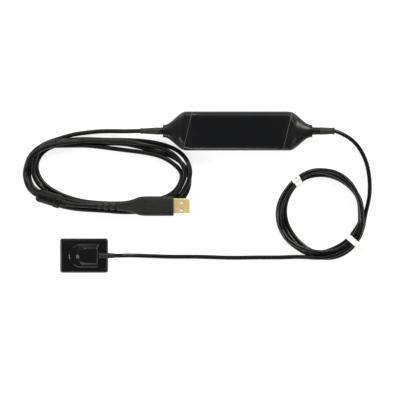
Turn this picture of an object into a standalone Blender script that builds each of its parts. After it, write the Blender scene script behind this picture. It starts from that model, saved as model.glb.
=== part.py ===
"""Intraoral X-ray sensor with an inline USB interface box and two coiled cords.

The origin is the middle of the interface box's underside. +X runs along the box towards its
sensor cord and +Z is up; the table is the plane z = 0. Sizes are in millimetres, and MM turns
them into metres where a mesh or a place is made.
"""
import math

import bmesh
import bpy
from mathutils import Vector

MM = 0.001
GAP = 0.3                       # between pieces that touch

# Interface box
BOX_HALF_WIDTH = 15.4
BOX_HALF_HEIGHT = 8.5
BOX_CORNER = 4.5
BOX_WALL = 1.8
SHOULDER_X = 40.7               # where the end caps start to taper
TAPER_LENGTH = 17.4
COLLAR_X = 58.9
COLLAR_RADIUS = 4.94
COLLAR_WALL = 4.0
SEAM_X = 39.3                   # seam between sleeve and cap, on the centre line
SEAM_SLANT = 0.24
LABEL_SIZE = (72.0, 21.5, 0.6)
LABEL_CORNER = 1.5

# Strain reliefs of the box
RELIEF_LENGTH = 17.3
RELIEF_NECK_RADIUS = 2.4
RELIEF_FLANGE_RADIUS = 3.1
USB_RELIEF_RADII = (3.1, 2.15)
SENSOR_RELIEF_RADII = (3.25, 2.55)
BORE_RADIUS = RELIEF_NECK_RADIUS + GAP

# Box fasteners and electronics
SCREW_X = 31.0
SCREW_Y = 10.2
SCREW_SHAFT = 0.85
SCREW_HEAD = 1.6
SCREW_TOP_Z = 12.5
BOSS_RADIUS = 2.3
COUNTERBORE_Z = 2.2
BOARD_Z = 6.0
BOARD_SIZE = (76.0, 24.8, 1.2)
BOARD_TOP_Z = BOARD_Z + BOARD_SIZE[2]
HEADER_X = 34.5
HEADER_SIZE = (6.0, 4.2)        # length and height of both headers
FLANGE_LENGTH = 1.3             # of a relief's flange inside the cap
WIRE_RADII = (1.4, 1.3)         # bundle of wires at the USB end, and at the sensor end
CRIMP_HALF = 1.2
CRIMP_WALL = 0.6
CAPACITOR_PLACES = ((-10.5, 10), (-26.5, 5.5), (-27.5, -5.5))
CAPACITOR = (2.0, 4.5)          # radius and height

# Cords
USB_CORD_RADIUS = 1.75
SENSOR_CORD_RADIUS = 1.65
CORD_SPACING = 2.4              # route points, in cord diameters
LOOP_CHAMFER = 1.1              # along the edges of the USB loop's section
COIL_CHAMFER = 1.0              # along the edges of the sensor coil's section

# USB plug, along X from the overmould's front face
PLUG_PLACE = (-50.3, -59.1, 10.5)
PLUG_SHELL_LENGTH = 12.6
PLUG_SHELL_HALF = (6.0, 2.25)
PLUG_SHELL_WALL = 0.35
PLUG_SHELL_DEPTH = 5.7
PLUG_SHELL_CORNER = 0.7
LATCH_HOLE = (6.4, 3.05)        # place of a latch hole, and its other side is mirrored
LATCH_HALF = (1.3, 1.2)
TONGUE_THICKNESS = 1.6
TONGUE_REACH = (-5.4, 12.4, 0.8)    # rear and front of the insulator, and the tongue's root
CONTACT_SIZE = (1.1, 0.3)           # width and thickness
CONTACT_ROOT = 1.4
RIB_START = -60.3
RIB_PITCH = 5.1
RIB_SLOT = 1.2
RIB_DEPTH = 1.1
RIB_HALVES = (2.6, 3.0, 3.3)
GRIP_CORNER = 2.4
# Grip ahead of the ribs: place along the plug, half width and half height.
GRIP_SECTIONS = [(-45.0, 3.5, 3.1), (-40.0, 3.9, 3.3), (-35.0, 4.6, 3.5), (-31.5, 5.6, 3.65),
                 (-28.0, 7.0, 3.8), (-25.0, 7.6, 3.9), (-21.0, 7.75, 3.9), (-0.6, 7.75, 3.9),
                 (0.0, 7.2, 3.35)]
CONTACTS = ((-3.5, 11.6), (-1.0, 10.6), (1.0, 10.6), (3.5, 11.6))    # side and tip of each

# Ferrite bead on the USB cord
FERRITE_PLACE = (-148.6, -53.2, 10.6)
FERRITE_TURN = -17.5
FERRITE_RADIUS = 4.65
FERRITE_RING_RADIUS = 5.15
FERRITE_HALF = 10.0

# Sensor head
HEAD_PLACE = (-121.1, -98.2, 0.0)
HEAD_HALF = (18.9, 13.55)
HEAD_CORNER = 2.0
HEAD_SPLIT_Z = 2.7
HEAD_PLATE_Z = 5.0
HEAD_TOP_Z = 10.5
HEAD_WALL = 1.0
# Layers under the active face: name, length and width, bottom and thickness.
HEAD_LAYERS = [("scintillator_screen", (30, 20), 1.1, 0.3), ("fiber_optic_plate", (30, 20), 1.7, 0.5),
               ("image_sensor_chip", (31.5, 21.5), 2.5, 0.4),
               ("head_circuit_board", (34, 23.6), 3.2, 0.6)]
HUMP_LEFT = -12.4
HUMP_RIGHT = 11.8
HUMP_HALF_WIDTH = 9.8
HUMP_SLOPE = (7.5, 2.8)         # how far the hump draws in towards its top: left end, sides
BOOT_Z = 7.45
BOOT_RADIUS = 2.15
BOOT_NECK_RADIUS = 1.4
BOOT_FLANGE_RADIUS = 1.85
BOOT_END = 24.8

# Round coil of the sensor cord and its ties
COIL_PLACE = (66.0, -65.0, 0.0)
COIL_STEP = 24                  # degrees between the rows of COIL_EDGES
# Inner radius, outer radius and top of the coil, clockwise from above from the +X direction.
COIL_EDGES = [(29.4, 33.6, 12.4), (28.9, 36.3, 11.6), (28.2, 37.7, 9.8), (28.2, 37.5, 8.2),
              (29.2, 36.1, 8.0), (27.6, 34.4, 8.0), (26.4, 34.7, 7.8), (26.8, 35.4, 7.4),
              (27.6, 35.0, 7.8), (28.3, 34.0, 8.4), (29.3, 34.8, 9.0), (29.3, 35.6, 9.4),
              (29.2, 35.3, 10.2), (29.6, 34.7, 11.4), (30.2, 33.8, 12.2)]
TIE_ANGLES = (126.6, -41.0)
TIE_WIDTHS = (5.8, 4.4)
TIE_THICKNESS = 1.0
TIE_ROOM = (0.7, 0.4)           # between the coil and a strap, across and upwards
TIE_LIFT = TIE_THICKNESS + TIE_ROOM[1]
TIE_LIFT_SPREAD = 32.0          # degrees of coil over which a strap lifts it
TIE_CORNER = 0.9


def srgb(red, green, blue):
    """Turn display values, 0 to 255, into a linear colour."""
    return tuple((value / 255) ** 2.2 for value in (red, green, blue))


BLACK_PLASTIC = (srgb(34, 35, 35), 0.45, 0.0)
GLOSSY_BLACK = (srgb(26, 27, 29), 0.15, 0.0)
BLACK_RUBBER = (srgb(46, 46, 43), 0.6, 0.0)
CORD_JACKET = (srgb(40, 40, 40), 0.5, 0.0)
GOLD_PLATE = (srgb(189, 168, 117), 0.25, 1.0)
BOARD_GREEN = (srgb(24, 84, 52), 0.5, 0.0)
CHIP_BLACK = (srgb(30, 30, 32), 0.55, 0.0)
STEEL = (srgb(170, 172, 175), 0.35, 1.0)
WHITE_NYLON = (srgb(232, 232, 228), 0.5, 0.0)
CREAM_PLASTIC = (srgb(236, 226, 196), 0.5, 0.0)
FERRITE_GREY = (srgb(62, 62, 64), 0.7, 0.0)
GLASS = (srgb(190, 200, 205), 0.1, 0.0)
PHOSPHOR = (srgb(215, 225, 190), 0.8, 0.0)
SILICON = (srgb(70, 76, 92), 0.2, 0.4)


# Making objects

def clear_scene():
    for item in list(bpy.data.objects):
        bpy.data.objects.remove(item, do_unlink=True)


def make_material(name, finish):
    colour, roughness, metallic = finish
    material = bpy.data.materials.new(name)
    material.use_nodes = True
    shader = material.node_tree.nodes["Principled BSDF"]
    shader.inputs["Base Color"].default_value = (*colour, 1.0)
    shader.inputs["Roughness"].default_value = roughness
    shader.inputs["Metallic"].default_value = metallic
    material.diffuse_color = (*colour, 1.0)
    return material


def add_empty(name, place, turn=0.0):
    """Add the empty that an assembly's pieces hang from."""
    empty = bpy.data.objects.new(name, None)
    empty.location = Vector(place) * MM
    empty.rotation_euler.z = math.radians(turn)
    bpy.context.collection.objects.link(empty)
    return empty


def add_object(name, shape, finish, parent, place=(0, 0, 0), smooth=35):
    """Link a bmesh as an object with a material of its own."""
    bmesh.ops.recalc_face_normals(shape, faces=shape.faces)
    mesh = bpy.data.meshes.new(name)
    shape.to_mesh(mesh)
    shape.free()
    mesh.shade_smooth()
    mesh.set_sharp_from_angle(angle=math.radians(smooth))
    item = bpy.data.objects.new(name, mesh)
    item.location = Vector(place) * MM
    item.parent = parent
    if finish is not None:
        mesh.materials.append(make_material(name, finish))
    bpy.context.collection.objects.link(item)
    return item


def combine(target, shape, operation="DIFFERENCE"):
    """Cut a shape out of an object, or join it on, with a Boolean modifier."""
    tool = add_object(f"{target.name}_{operation.lower()}_tool", shape, None, target.parent)
    tool.hide_render = True
    tool.display_type = "WIRE"
    boolean = target.modifiers.new(tool.name, "BOOLEAN")
    boolean.operation = operation
    boolean.solver = "EXACT"
    boolean.object = tool


# Shapes

def loft(rings, shape=None, closed=False):
    """Skin rings of equal length; closed joins the last to the first, or else ends are capped."""
    shape = shape or bmesh.new()
    loops = [[shape.verts.new(Vector(point) * MM) for point in ring] for ring in rings]
    following = loops[1:] + loops[:1] if closed else loops[1:]
    for near, far in zip(loops, following):
        for index in range(len(near)):
            after = (index + 1) % len(near)
            shape.faces.new((near[index], near[after], far[after], far[index]))
    if not closed:
        shape.faces.new(loops[0])
        shape.faces.new(loops[-1])
    return shape


def rounded_rectangle(half_width, half_height, corner, steps=5):
    """Points of a rounded rectangle about the origin, anticlockwise."""
    points = []
    for quarter, (side, level) in enumerate(((1, 1), (-1, 1), (-1, -1), (1, -1))):
        for step in range(steps + 1):
            angle = math.radians(90 * (quarter + step / steps))
            points.append((side * (half_width - corner) + corner * math.cos(angle),
                           level * (half_height - corner) + corner * math.sin(angle)))
    return points


def upright_block(half_size, corner, levels, centre=(0, 0), shape=None, steps=3):
    """Rounded rectangle standing along Z; levels lists (z, how far the outline draws in)."""
    rings = []
    for z, inset in levels:
        outline = rounded_rectangle(half_size[0] - inset, half_size[1] - inset,
                                    max(corner - inset, 0.2), steps)
        rings.append([(centre[0] + x, centre[1] + y, z) for x, y in outline])
    return loft(rings, shape)


def block(size, bottom, centre=(0, 0), corner=0.3, edge=0.15):
    """Small block with rounded upright edges and a chamfered top."""
    levels = [(bottom, 0), (bottom + size[2] - edge, 0), (bottom + size[2], edge)]
    return upright_block((size[0] / 2, size[1] / 2), corner, levels, centre, steps=2)


def circle(radius, steps):
    return [(radius * math.cos(math.tau * step / steps), radius * math.sin(math.tau * step / steps))
            for step in range(steps)]


def turned(profile, axis="x", centre=(0, 0, 0), steps=20, closed=False):
    """Turn a profile of (distance, radius) about an axis through a point."""
    rings = []
    for distance, radius in profile:
        if axis == "x":
            ring = [(distance, across, up) for across, up in circle(radius, steps)]
        else:
            ring = [(across, up, distance) for across, up in circle(radius, steps)]
        rings.append([tuple(a + b for a, b in zip(point, centre)) for point in ring])
    return loft(rings, closed=closed)


def curve_through(points, samples, closed=False):
    """Sample a smooth curve that passes through the given points of any dimension."""
    points = [tuple(point) for point in points]
    count = len(points)
    spans = count if closed else count - 1
    result = []
    for span in range(spans):
        if closed:
            picks = [points[(span + shift) % count] for shift in (-1, 0, 1, 2)]
        else:
            picks = [points[min(max(span + shift, 0), count - 1)] for shift in (-1, 0, 1, 2)]
        for sample in range(samples):
            t = sample / samples
            weights = (-t + 2 * t**2 - t**3, 2 - 5 * t**2 + 3 * t**3,
                       t + 4 * t**2 - 3 * t**3, -t**2 + t**3)
            result.append(tuple(sum(w * pick[k] for w, pick in zip(weights, picks)) / 2
                                for k in range(len(points[0]))))
    if not closed:
        result.append(points[-1])
    return result


def even_points(route, spacing):
    """Place points at an even spacing along the smooth curve through a route."""
    fine = [Vector(point) for point in curve_through(route, 24)]
    lengths = [0.0]
    for near, far in zip(fine, fine[1:]):
        lengths.append(lengths[-1] + (far - near).length)
    count = max(2, round(lengths[-1] / spacing))
    result = []
    index = 0
    for step in range(count + 1):
        target = lengths[-1] * step / count
        while index < len(fine) - 2 and lengths[index + 1] < target:
            index += 1
        share = (target - lengths[index]) / (lengths[index + 1] - lengths[index])
        result.append(fine[index].lerp(fine[index + 1], share))
    return result


def cord_tube(name, route, radius, finish=CORD_JACKET):
    """Tube along a route, as a curve with a round bevel and filled ends."""
    points = even_points(route, CORD_SPACING * 2 * radius)
    curve = bpy.data.curves.new(name, "CURVE")
    curve.dimensions = "3D"
    curve.bevel_depth = radius * MM
    curve.bevel_resolution = 2
    curve.use_fill_caps = True
    spline = curve.splines.new("POLY")
    spline.points.add(len(points) - 1)
    for spot, point in zip(spline.points, points):
        point.z = max(point.z, radius)      # the cord lies on the table, not in it
        spot.co = (*(point * MM), 1.0)
    curve.materials.append(make_material(name, finish))
    tube = bpy.data.objects.new(name, curve)
    bpy.context.collection.objects.link(tube)
    return tube


# Interface box

def box_half_sizes(x):
    """Half width and half height of the box at a place along it."""
    along = min(max((abs(x) - SHOULDER_X) / TAPER_LENGTH, 0.0), 1.0)
    left = 1 - along
    swell = 3 * left**2 - 2 * left**3
    return (COLLAR_RADIUS + (BOX_HALF_WIDTH - COLLAR_RADIUS) * swell,
            COLLAR_RADIUS + (BOX_HALF_HEIGHT - COLLAR_RADIUS) * swell)


def box_ring(seam_x, slant, inset=0.0, steps=5):
    """Outline of the box's skin, or of its inside, on a slanted plane."""
    count = 4 * (steps + 1)
    ring = []
    for index in range(count):
        y = z = 0.0
        for _ in range(6):
            half_width, half_height = box_half_sizes(seam_x + slant * y)
            corner = min(BOX_CORNER, 0.97 * min(half_width, half_height)) - 0.6 * inset
            outline = rounded_rectangle(half_width - inset, half_height - inset,
                                        min(corner, 0.97 * (half_height - inset)), steps)
            y, z = outline[index]
        ring.append((seam_x + slant * y, y, BOX_HALF_HEIGHT + z))
    return ring


def half_ring(seam_x, upper, inset=0.0):
    """Upper or lower half of a box outline, from one side to the other."""
    ring = box_ring(seam_x, SEAM_SLANT, inset)
    half = len(ring) // 2
    points = ring[:half] if upper else ring[half:]
    edge_z = BOX_HALF_HEIGHT + (GAP / 2 if upper else -GAP / 2)
    first, last = points[0], points[-1]
    return [(first[0], first[1], edge_z)] + points + [(last[0], last[1], edge_z)]


def box_shell(name, upper, parent):
    """One half of the box's sleeve, as a channel between the two slanted seams."""
    reach = SEAM_X - GAP / 2
    rings = []
    for seam_x in (-reach, -reach + 3, reach - 3, reach):
        outer = half_ring(seam_x, upper)
        inner = half_ring(seam_x, upper, BOX_WALL)
        rings.append(outer + inner[::-1])
    shell = add_object(name, loft(rings), BLACK_PLASTIC, parent)
    for x in (-SCREW_X, SCREW_X):
        for y in (-SCREW_Y, SCREW_Y):
            add_boss(shell, x, y, upper)
    return shell


def add_boss(shell, x, y, upper):
    """Screw boss on the inside of a half shell, with its hole."""
    ceiling_z = 2 * BOX_HALF_HEIGHT - BOX_WALL / 2
    split_z = BOX_HALF_HEIGHT
    hole = SCREW_SHAFT + GAP
    if upper:
        boss = turned([(split_z + GAP / 2, BOSS_RADIUS), (ceiling_z, BOSS_RADIUS)],
                      "z", (x, y, 0), 16)
        combine(shell, boss, "UNION")
        combine(shell, turned([(split_z - 1, hole), (SCREW_TOP_Z + GAP, hole)], "z", (x, y, 0), 12))
        return
    boss = turned([(BOX_WALL / 2, BOSS_RADIUS), (split_z - GAP / 2, BOSS_RADIUS)],
                  "z", (x, y, 0), 16)
    combine(shell, boss, "UNION")
    wide = SCREW_HEAD + GAP
    combine(shell, turned([(-1, wide), (COUNTERBORE_Z, wide), (COUNTERBORE_Z, hole),
                           (split_z + 1, hole)], "z", (x, y, 0), 12))


def box_end_cap(name, side, parent):
    """Hollow end cap: flares from a round collar to the slanted seam."""
    outer = []
    stations = 9
    seam_x = SEAM_X + GAP / 2
    end_x = SHOULDER_X + TAPER_LENGTH
    for step in range(stations + 1):
        share = step / stations
        outer.append(box_ring(side * (seam_x + (end_x - seam_x) * share),
                              SEAM_SLANT * (1 - share) ** 2))
    outer.append(box_ring(side * COLLAR_X, 0.0))
    inner_end_x = COLLAR_X - COLLAR_WALL
    inner = []
    steps = len(outer[0]) // 4 - 1
    for radius, x in ((BORE_RADIUS, COLLAR_X), (BORE_RADIUS, inner_end_x)):
        outline = rounded_rectangle(radius, radius, 0.97 * radius, steps)
        inner.append([(side * x, y, BOX_HALF_HEIGHT + z) for y, z in outline])
    for share in (1.0, 0.7, 0.35, 0.0):
        x = seam_x + (inner_end_x - seam_x) * share
        inner.append(box_ring(side * x, SEAM_SLANT * (1 - share) ** 2, BOX_WALL))
    return add_object(name, loft(outer + inner, closed=True), BLACK_PLASTIC, parent)


def strain_relief(name, side, radii, parent):
    """Turned relief: flange inside the cap, neck through its collar, and the tapered tail."""
    inside_x = COLLAR_X - COLLAR_WALL - GAP
    base_x = COLLAR_X + GAP
    tip_x = base_x + RELIEF_LENGTH
    base, tip = radii
    profile = [(inside_x - FLANGE_LENGTH, RELIEF_FLANGE_RADIUS), (inside_x, RELIEF_FLANGE_RADIUS),
               (inside_x, RELIEF_NECK_RADIUS), (base_x, RELIEF_NECK_RADIUS),
               (base_x, base), (base_x + 2.5, base), (base_x + 8, (base + tip) / 2),
               (tip_x - 1.6, tip), (tip_x - 1.3, tip + 0.25), (tip_x - 0.3, tip + 0.25),
               (tip_x, tip)]
    profile = [(side * x, radius) for x, radius in profile]
    return add_object(name, turned(profile, centre=(0, 0, BOX_HALF_HEIGHT)), BLACK_RUBBER, parent)


def box_screw(name, x, y, parent):
    """Countersunk into its boss from below, with a plain round head."""
    head_z = COUNTERBORE_Z - GAP - 1.2
    profile = [(head_z, SCREW_HEAD * 0.85), (head_z + 0.3, SCREW_HEAD),
               (COUNTERBORE_Z - GAP, SCREW_HEAD), (COUNTERBORE_Z - GAP, SCREW_SHAFT),
               (SCREW_TOP_Z - 0.8, SCREW_SHAFT), (SCREW_TOP_Z, SCREW_SHAFT * 0.4)]
    return add_object(name, turned(profile, "z", (x, y, 0), 12), STEEL, parent)


def circuit_board(parent):
    length, width, thickness = BOARD_SIZE
    shape = upright_block((length / 2, width / 2), 1.0,
                          [(BOARD_Z, 0), (BOARD_Z + thickness, 0)])
    board = add_object("main_circuit_board", shape, BOARD_GREEN, parent)
    for x in (-SCREW_X, SCREW_X):
        for y in (-SCREW_Y, SCREW_Y):
            notch = BOSS_RADIUS + GAP
            combine(board, turned([(BOARD_Z - 1, notch), (BOARD_TOP_Z + 1, notch)],
                                  "z", (x, y, 0), 16))
    return board


def label_plate(shell, parent):
    """Glossy plate that lies in a shallow pocket of the top shell."""
    length, width, thickness = LABEL_SIZE
    top_z = 2 * BOX_HALF_HEIGHT
    half = (length / 2, width / 2)
    pocket = (half[0] + GAP, half[1] + GAP)
    combine(shell, upright_block(pocket, LABEL_CORNER + GAP,
                                 [(top_z - thickness - GAP, 0), (top_z + 1, 0)]))
    shape = upright_block(half, LABEL_CORNER, [(top_z - thickness, 0), (top_z, 0)])
    add_object("label_plate", shape, GLOSSY_BLACK, parent)


def box_electronics(parent):
    """Chips, connectors and wires on the board, in the order they sit along it."""
    seat = BOARD_TOP_Z + GAP
    chips = [("usb_controller_chip", (9, 9, 1.0), (-20, 2), CHIP_BLACK),
             ("clock_crystal", (5, 3.2, 1.2), (-20, -7), STEEL),
             ("processor_chip", (14, 14, 1.5), (-3, 0), CHIP_BLACK),
             ("memory_chip", (11, 7, 1.1), (14, 7), CHIP_BLACK),
             ("converter_shield", (14, 11, 2.4), (16, -4.5), STEEL),
             ("usb_header", (HEADER_SIZE[0], 10, HEADER_SIZE[1]), (-HEADER_X, 0), CREAM_PLASTIC),
             ("sensor_header", (HEADER_SIZE[0], 13, HEADER_SIZE[1]), (HEADER_X, 0), CREAM_PLASTIC)]
    for name, size, centre, finish in chips:
        add_object(name, block(size, seat, centre), finish, parent)
    radius, height = CAPACITOR
    for number, (x, y) in enumerate(CAPACITOR_PLACES, start=1):
        profile = [(seat, radius), (seat + height - 0.3, radius), (seat + height, radius - 0.3)]
        add_object(f"capacitor_{number}", turned(profile, "z", (x, y, 0), 14), STEEL, parent)
    for cord, side, radius in zip(("usb", "sensor"), (-1, 1), WIRE_RADII):
        box_wires(cord, side, radius, parent)


def box_wires(cord, side, radius, parent):
    """Bundle of wires from a relief down to its header, and the crimp ring round it."""
    relief_x = COLLAR_X - COLLAR_WALL - GAP - FLANGE_LENGTH
    header_x = HEADER_X + HEADER_SIZE[0] / 2 + GAP
    axis_z = BOX_HALF_HEIGHT
    plug_z = BOARD_TOP_Z + GAP + HEADER_SIZE[1] / 2
    route = [(side * (relief_x - GAP), 0, axis_z), (side * (relief_x - 5), 0, axis_z),
             (side * (header_x + 4), 0, plug_z), (side * header_x, 0, plug_z)]
    wires = cord_tube(f"{cord}_wires", route, radius)
    wires.parent = parent
    ring_x = relief_x - 4.6
    bore = radius + GAP
    ring = [(side * (ring_x + x), size) for x, size in
            ((-CRIMP_HALF, bore), (-CRIMP_HALF, bore + CRIMP_WALL),
             (CRIMP_HALF, bore + CRIMP_WALL), (CRIMP_HALF, bore))]
    shape = turned(ring, centre=(0, 0, axis_z), steps=16, closed=True)
    add_object(f"{cord}_crimp_ring", shape, STEEL, parent)


def interface_box():
    box = add_empty("interface_box", (0, 0, 0))
    top = box_shell("box_top_shell", True, box)
    label_plate(top, box)
    box_shell("box_bottom_shell", False, box)
    box_end_cap("usb_end_cap", -1, box)
    box_end_cap("sensor_end_cap", 1, box)
    strain_relief("usb_strain_relief", -1, USB_RELIEF_RADII, box)
    strain_relief("sensor_strain_relief", 1, SENSOR_RELIEF_RADII, box)
    circuit_board(box)
    box_electronics(box)
    corners = [(x, y) for x in (-SCREW_X, SCREW_X) for y in (-SCREW_Y, SCREW_Y)]
    for number, (x, y) in enumerate(corners, start=1):
        box_screw(f"box_screw_{number}", x, y, box)


# Sensor head

def hump_ring(z, left, right, half_width, corner=1.2, steps=12):
    """Bullet outline: a flat wall at the right and a half ellipse at the left."""
    half_width = abs(half_width)
    length = min(half_width * 1.05, right - left - corner)
    middle = left + length
    ring = [(right, -half_width + corner, z), (right, half_width - corner, z),
            (right - corner, half_width, z)]
    for step in range(steps + 1):
        angle = math.radians(90 + 180 * step / steps)
        ring.append((middle + length * math.cos(angle), half_width * math.sin(angle), z))
    ring.append((right - corner, -half_width, z))
    return ring


def hump(base_z, top_z, inset):
    """Domed hump; inset draws the whole form in, for the hollow under it."""
    rings = [hump_ring(base_z, HUMP_LEFT + inset, HUMP_RIGHT - inset, HUMP_HALF_WIDTH - inset)]
    for angle in (0, 22, 42, 60, 75, 90):
        rise = math.sin(math.radians(angle))
        draw = 1 - math.cos(math.radians(angle))
        edge = 0.7 * draw
        rings.append(hump_ring(HEAD_PLATE_Z + (top_z - HEAD_PLATE_Z) * rise,
                               HUMP_LEFT + inset + HUMP_SLOPE[0] * draw,
                               HUMP_RIGHT - inset - edge,
                               HUMP_HALF_WIDTH - inset - HUMP_SLOPE[1] * draw))
    rings.pop(1)
    return loft(rings)


def head_shells(parent):
    front = upright_block(HEAD_HALF, HEAD_CORNER,
                          [(0, 0.5), (0.5, 0), (HEAD_SPLIT_Z - GAP / 2, 0)])
    tray = add_object("head_front_shell", front, BLACK_PLASTIC, parent)
    inside = (HEAD_HALF[0] - HEAD_WALL, HEAD_HALF[1] - HEAD_WALL)
    combine(tray, upright_block(inside, HEAD_CORNER - 0.6, [(0.8, 0), (HEAD_SPLIT_Z + 1, 0)]))
    back = upright_block(HEAD_HALF, HEAD_CORNER,
                         [(HEAD_SPLIT_Z + GAP / 2, 0), (HEAD_PLATE_Z - 0.7, 0),
                          (HEAD_PLATE_Z - 0.2, 0.2), (HEAD_PLATE_Z, 0.7)])
    lid = add_object("head_back_shell", back, BLACK_PLASTIC, parent)
    combine(lid, hump(HEAD_PLATE_Z - 0.5, HEAD_TOP_Z, 0), "UNION")
    combine(lid, upright_block(inside, HEAD_CORNER - 0.6,
                               [(HEAD_SPLIT_Z - 1, 0), (HEAD_PLATE_Z - 0.8, 0)]))
    combine(lid, hump(HEAD_PLATE_Z - 1.3, HEAD_TOP_Z - 1.1, 1.3))
    bore = BOOT_NECK_RADIUS + GAP
    combine(lid, turned([(HUMP_RIGHT - 3, bore), (HUMP_RIGHT + 2, bore)],
                        centre=(0, 0, BOOT_Z), steps=16))


def head_stack(parent):
    """Layers under the active face, from the screen up to the circuit board."""
    finishes = (PHOSPHOR, GLASS, SILICON, BOARD_GREEN)
    for (name, size, bottom, thickness), finish in zip(HEAD_LAYERS, finishes):
        shape = upright_block((size[0] / 2, size[1] / 2), 0.8,
                              [(bottom, 0), (bottom + thickness, 0)], steps=2)
        add_object(name, shape, finish, parent)
    add_object("head_connector", block((4, 7, 2.4), 4.1, (-1.5, 0)), CREAM_PLASTIC, parent)
    wires = cord_tube("head_wires", [(7.8, 0, BOOT_Z), (6, 0, BOOT_Z), (3.2, 0, 5.4), (0.8, 0, 5.3)],
                      1.0)
    wires.parent = parent


def head_boot(parent):
    """Boot of the cord: flange inside the hump, neck in its wall, sleeve over the plate."""
    flange_x = HUMP_RIGHT - 3.6
    profile = [(flange_x, BOOT_FLANGE_RADIUS), (flange_x + 1.2, BOOT_FLANGE_RADIUS),
               (flange_x + 1.2, BOOT_NECK_RADIUS), (HUMP_RIGHT + GAP, BOOT_NECK_RADIUS),
               (HUMP_RIGHT + GAP, BOOT_RADIUS),
               (BOOT_END - 5, BOOT_RADIUS), (BOOT_END - 0.4, BOOT_RADIUS - 0.25),
               (BOOT_END, BOOT_RADIUS - 0.6)]
    shape = turned(profile, centre=(0, 0, BOOT_Z), steps=16)
    add_object("head_cable_boot", shape, BLACK_RUBBER, parent)


def sensor_head():
    head = add_empty("sensor_head", HEAD_PLACE)
    head_shells(head)
    head_stack(head)
    head_boot(head)


# USB plug

def plug_ring(x, half_width, half_height, corner, steps=4):
    outline = rounded_rectangle(half_width, half_height,
                                min(corner, 0.97 * min(half_width, half_height)), steps)
    return [(x, y, z) for y, z in outline]


def plug_overmold(parent):
    """Moulded grip with a ribbed relief behind it and a pocket for the metal shell."""
    rings = []
    for number, half in enumerate(RIB_HALVES):
        start = RIB_START + RIB_PITCH * number
        end = start + RIB_PITCH - RIB_SLOT
        for x, inset in ((start, 0.3), (start + 0.3, 0), (end - 0.3, 0), (end, 0.3),
                         (end, RIB_DEPTH), (end + RIB_SLOT, RIB_DEPTH)):
            rings.append(plug_ring(x, half - inset, half - inset, half))
    rings += [plug_ring(*section_sizes, GRIP_CORNER) for section_sizes in GRIP_SECTIONS]
    pocket = [half + GAP for half in PLUG_SHELL_HALF]
    corner = PLUG_SHELL_CORNER + GAP
    rings += [plug_ring(0.0, *pocket, corner), plug_ring(-PLUG_SHELL_DEPTH - GAP, *pocket, corner)]
    add_object("plug_overmold", loft(rings), BLACK_RUBBER, parent)


def plug_shell(parent):
    """Metal shell: a thin rounded tube with two latch holes above and two below."""
    half_width, half_height = PLUG_SHELL_HALF
    rear, mouth = -PLUG_SHELL_DEPTH, PLUG_SHELL_LENGTH
    wall, corner = PLUG_SHELL_WALL, PLUG_SHELL_CORNER
    inner = (half_width - wall, half_height - wall, corner - wall)
    outer = (half_width, half_height, corner)
    rings = [plug_ring(rear, *outer), plug_ring(mouth, *outer),
             plug_ring(mouth, *inner), plug_ring(rear, *inner)]
    shell = add_object("plug_shell", loft(rings, closed=True), GOLD_PLATE, parent)
    x, y = LATCH_HOLE
    for centre in ((x, y), (x, -y)):
        combine(shell, upright_block(LATCH_HALF, 0.25, [(-4, 0), (4, 0)], centre, steps=2))


def plug_inside(parent):
    """Insulator with its tongue under the shell's top wall, and the four contacts below it."""
    half_width = PLUG_SHELL_HALF[0] - PLUG_SHELL_WALL - GAP
    top_z = PLUG_SHELL_HALF[1] - PLUG_SHELL_WALL - GAP
    tongue_z = top_z - TONGUE_THICKNESS
    rear, front, root = TONGUE_REACH
    side_profile = [(rear, top_z), (front - 0.2, top_z), (front, top_z - 0.4),
                    (front, tongue_z + 0.3), (front - 0.3, tongue_z), (root, tongue_z),
                    (root, -top_z), (rear, -top_z)]
    rings = [[(x, y, z) for x, z in side_profile] for y in (-half_width, half_width)]
    add_object("plug_insulator", loft(rings), CREAM_PLASTIC, parent)
    width, thickness = CONTACT_SIZE
    for number, (y, tip) in enumerate(CONTACTS, start=1):
        size = (tip - CONTACT_ROOT, width, thickness)
        shape = block(size, tongue_z - GAP - thickness, ((tip + CONTACT_ROOT) / 2, y), 0.2, 0.1)
        add_object(f"plug_contact_{number}", shape, GOLD_PLATE, parent)


def usb_plug():
    plug = add_empty("usb_plug", PLUG_PLACE)
    plug_overmold(plug)
    plug_shell(plug)
    plug_inside(plug)


# Ferrite bead

def ferrite_bead():
    bead = add_empty("ferrite_bead", FERRITE_PLACE, FERRITE_TURN)
    bore = USB_CORD_RADIUS + GAP + 0.05
    core = (FERRITE_RADIUS - 1.0, bore + GAP)
    half = FERRITE_HALF
    core_half = half - 1.8
    room = core[0] + GAP
    cover = [(-half, bore), (-half, 3.4), (-half + 0.4, 4.1), (-half + 1.1, FERRITE_RADIUS),
             (half - 5.2, FERRITE_RADIUS), (half - 4.8, FERRITE_RING_RADIUS),
             (half - 0.8, FERRITE_RING_RADIUS), (half, 4.3), (half, 2.9), (half + 4.0, 2.5),
             (half + 4.2, bore), (core_half + GAP, bore), (core_half + GAP, room),
             (-core_half - GAP, room), (-core_half - GAP, bore)]
    add_object("ferrite_cover", turned(cover, steps=20, closed=True), BLACK_PLASTIC, bead)
    inside = [(-core_half, core[1]), (-core_half, core[0]), (core_half, core[0]),
              (core_half, core[1])]
    add_object("ferrite_core", turned(inside, steps=20, closed=True), FERRITE_GREY, bead)


# Cords

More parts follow.
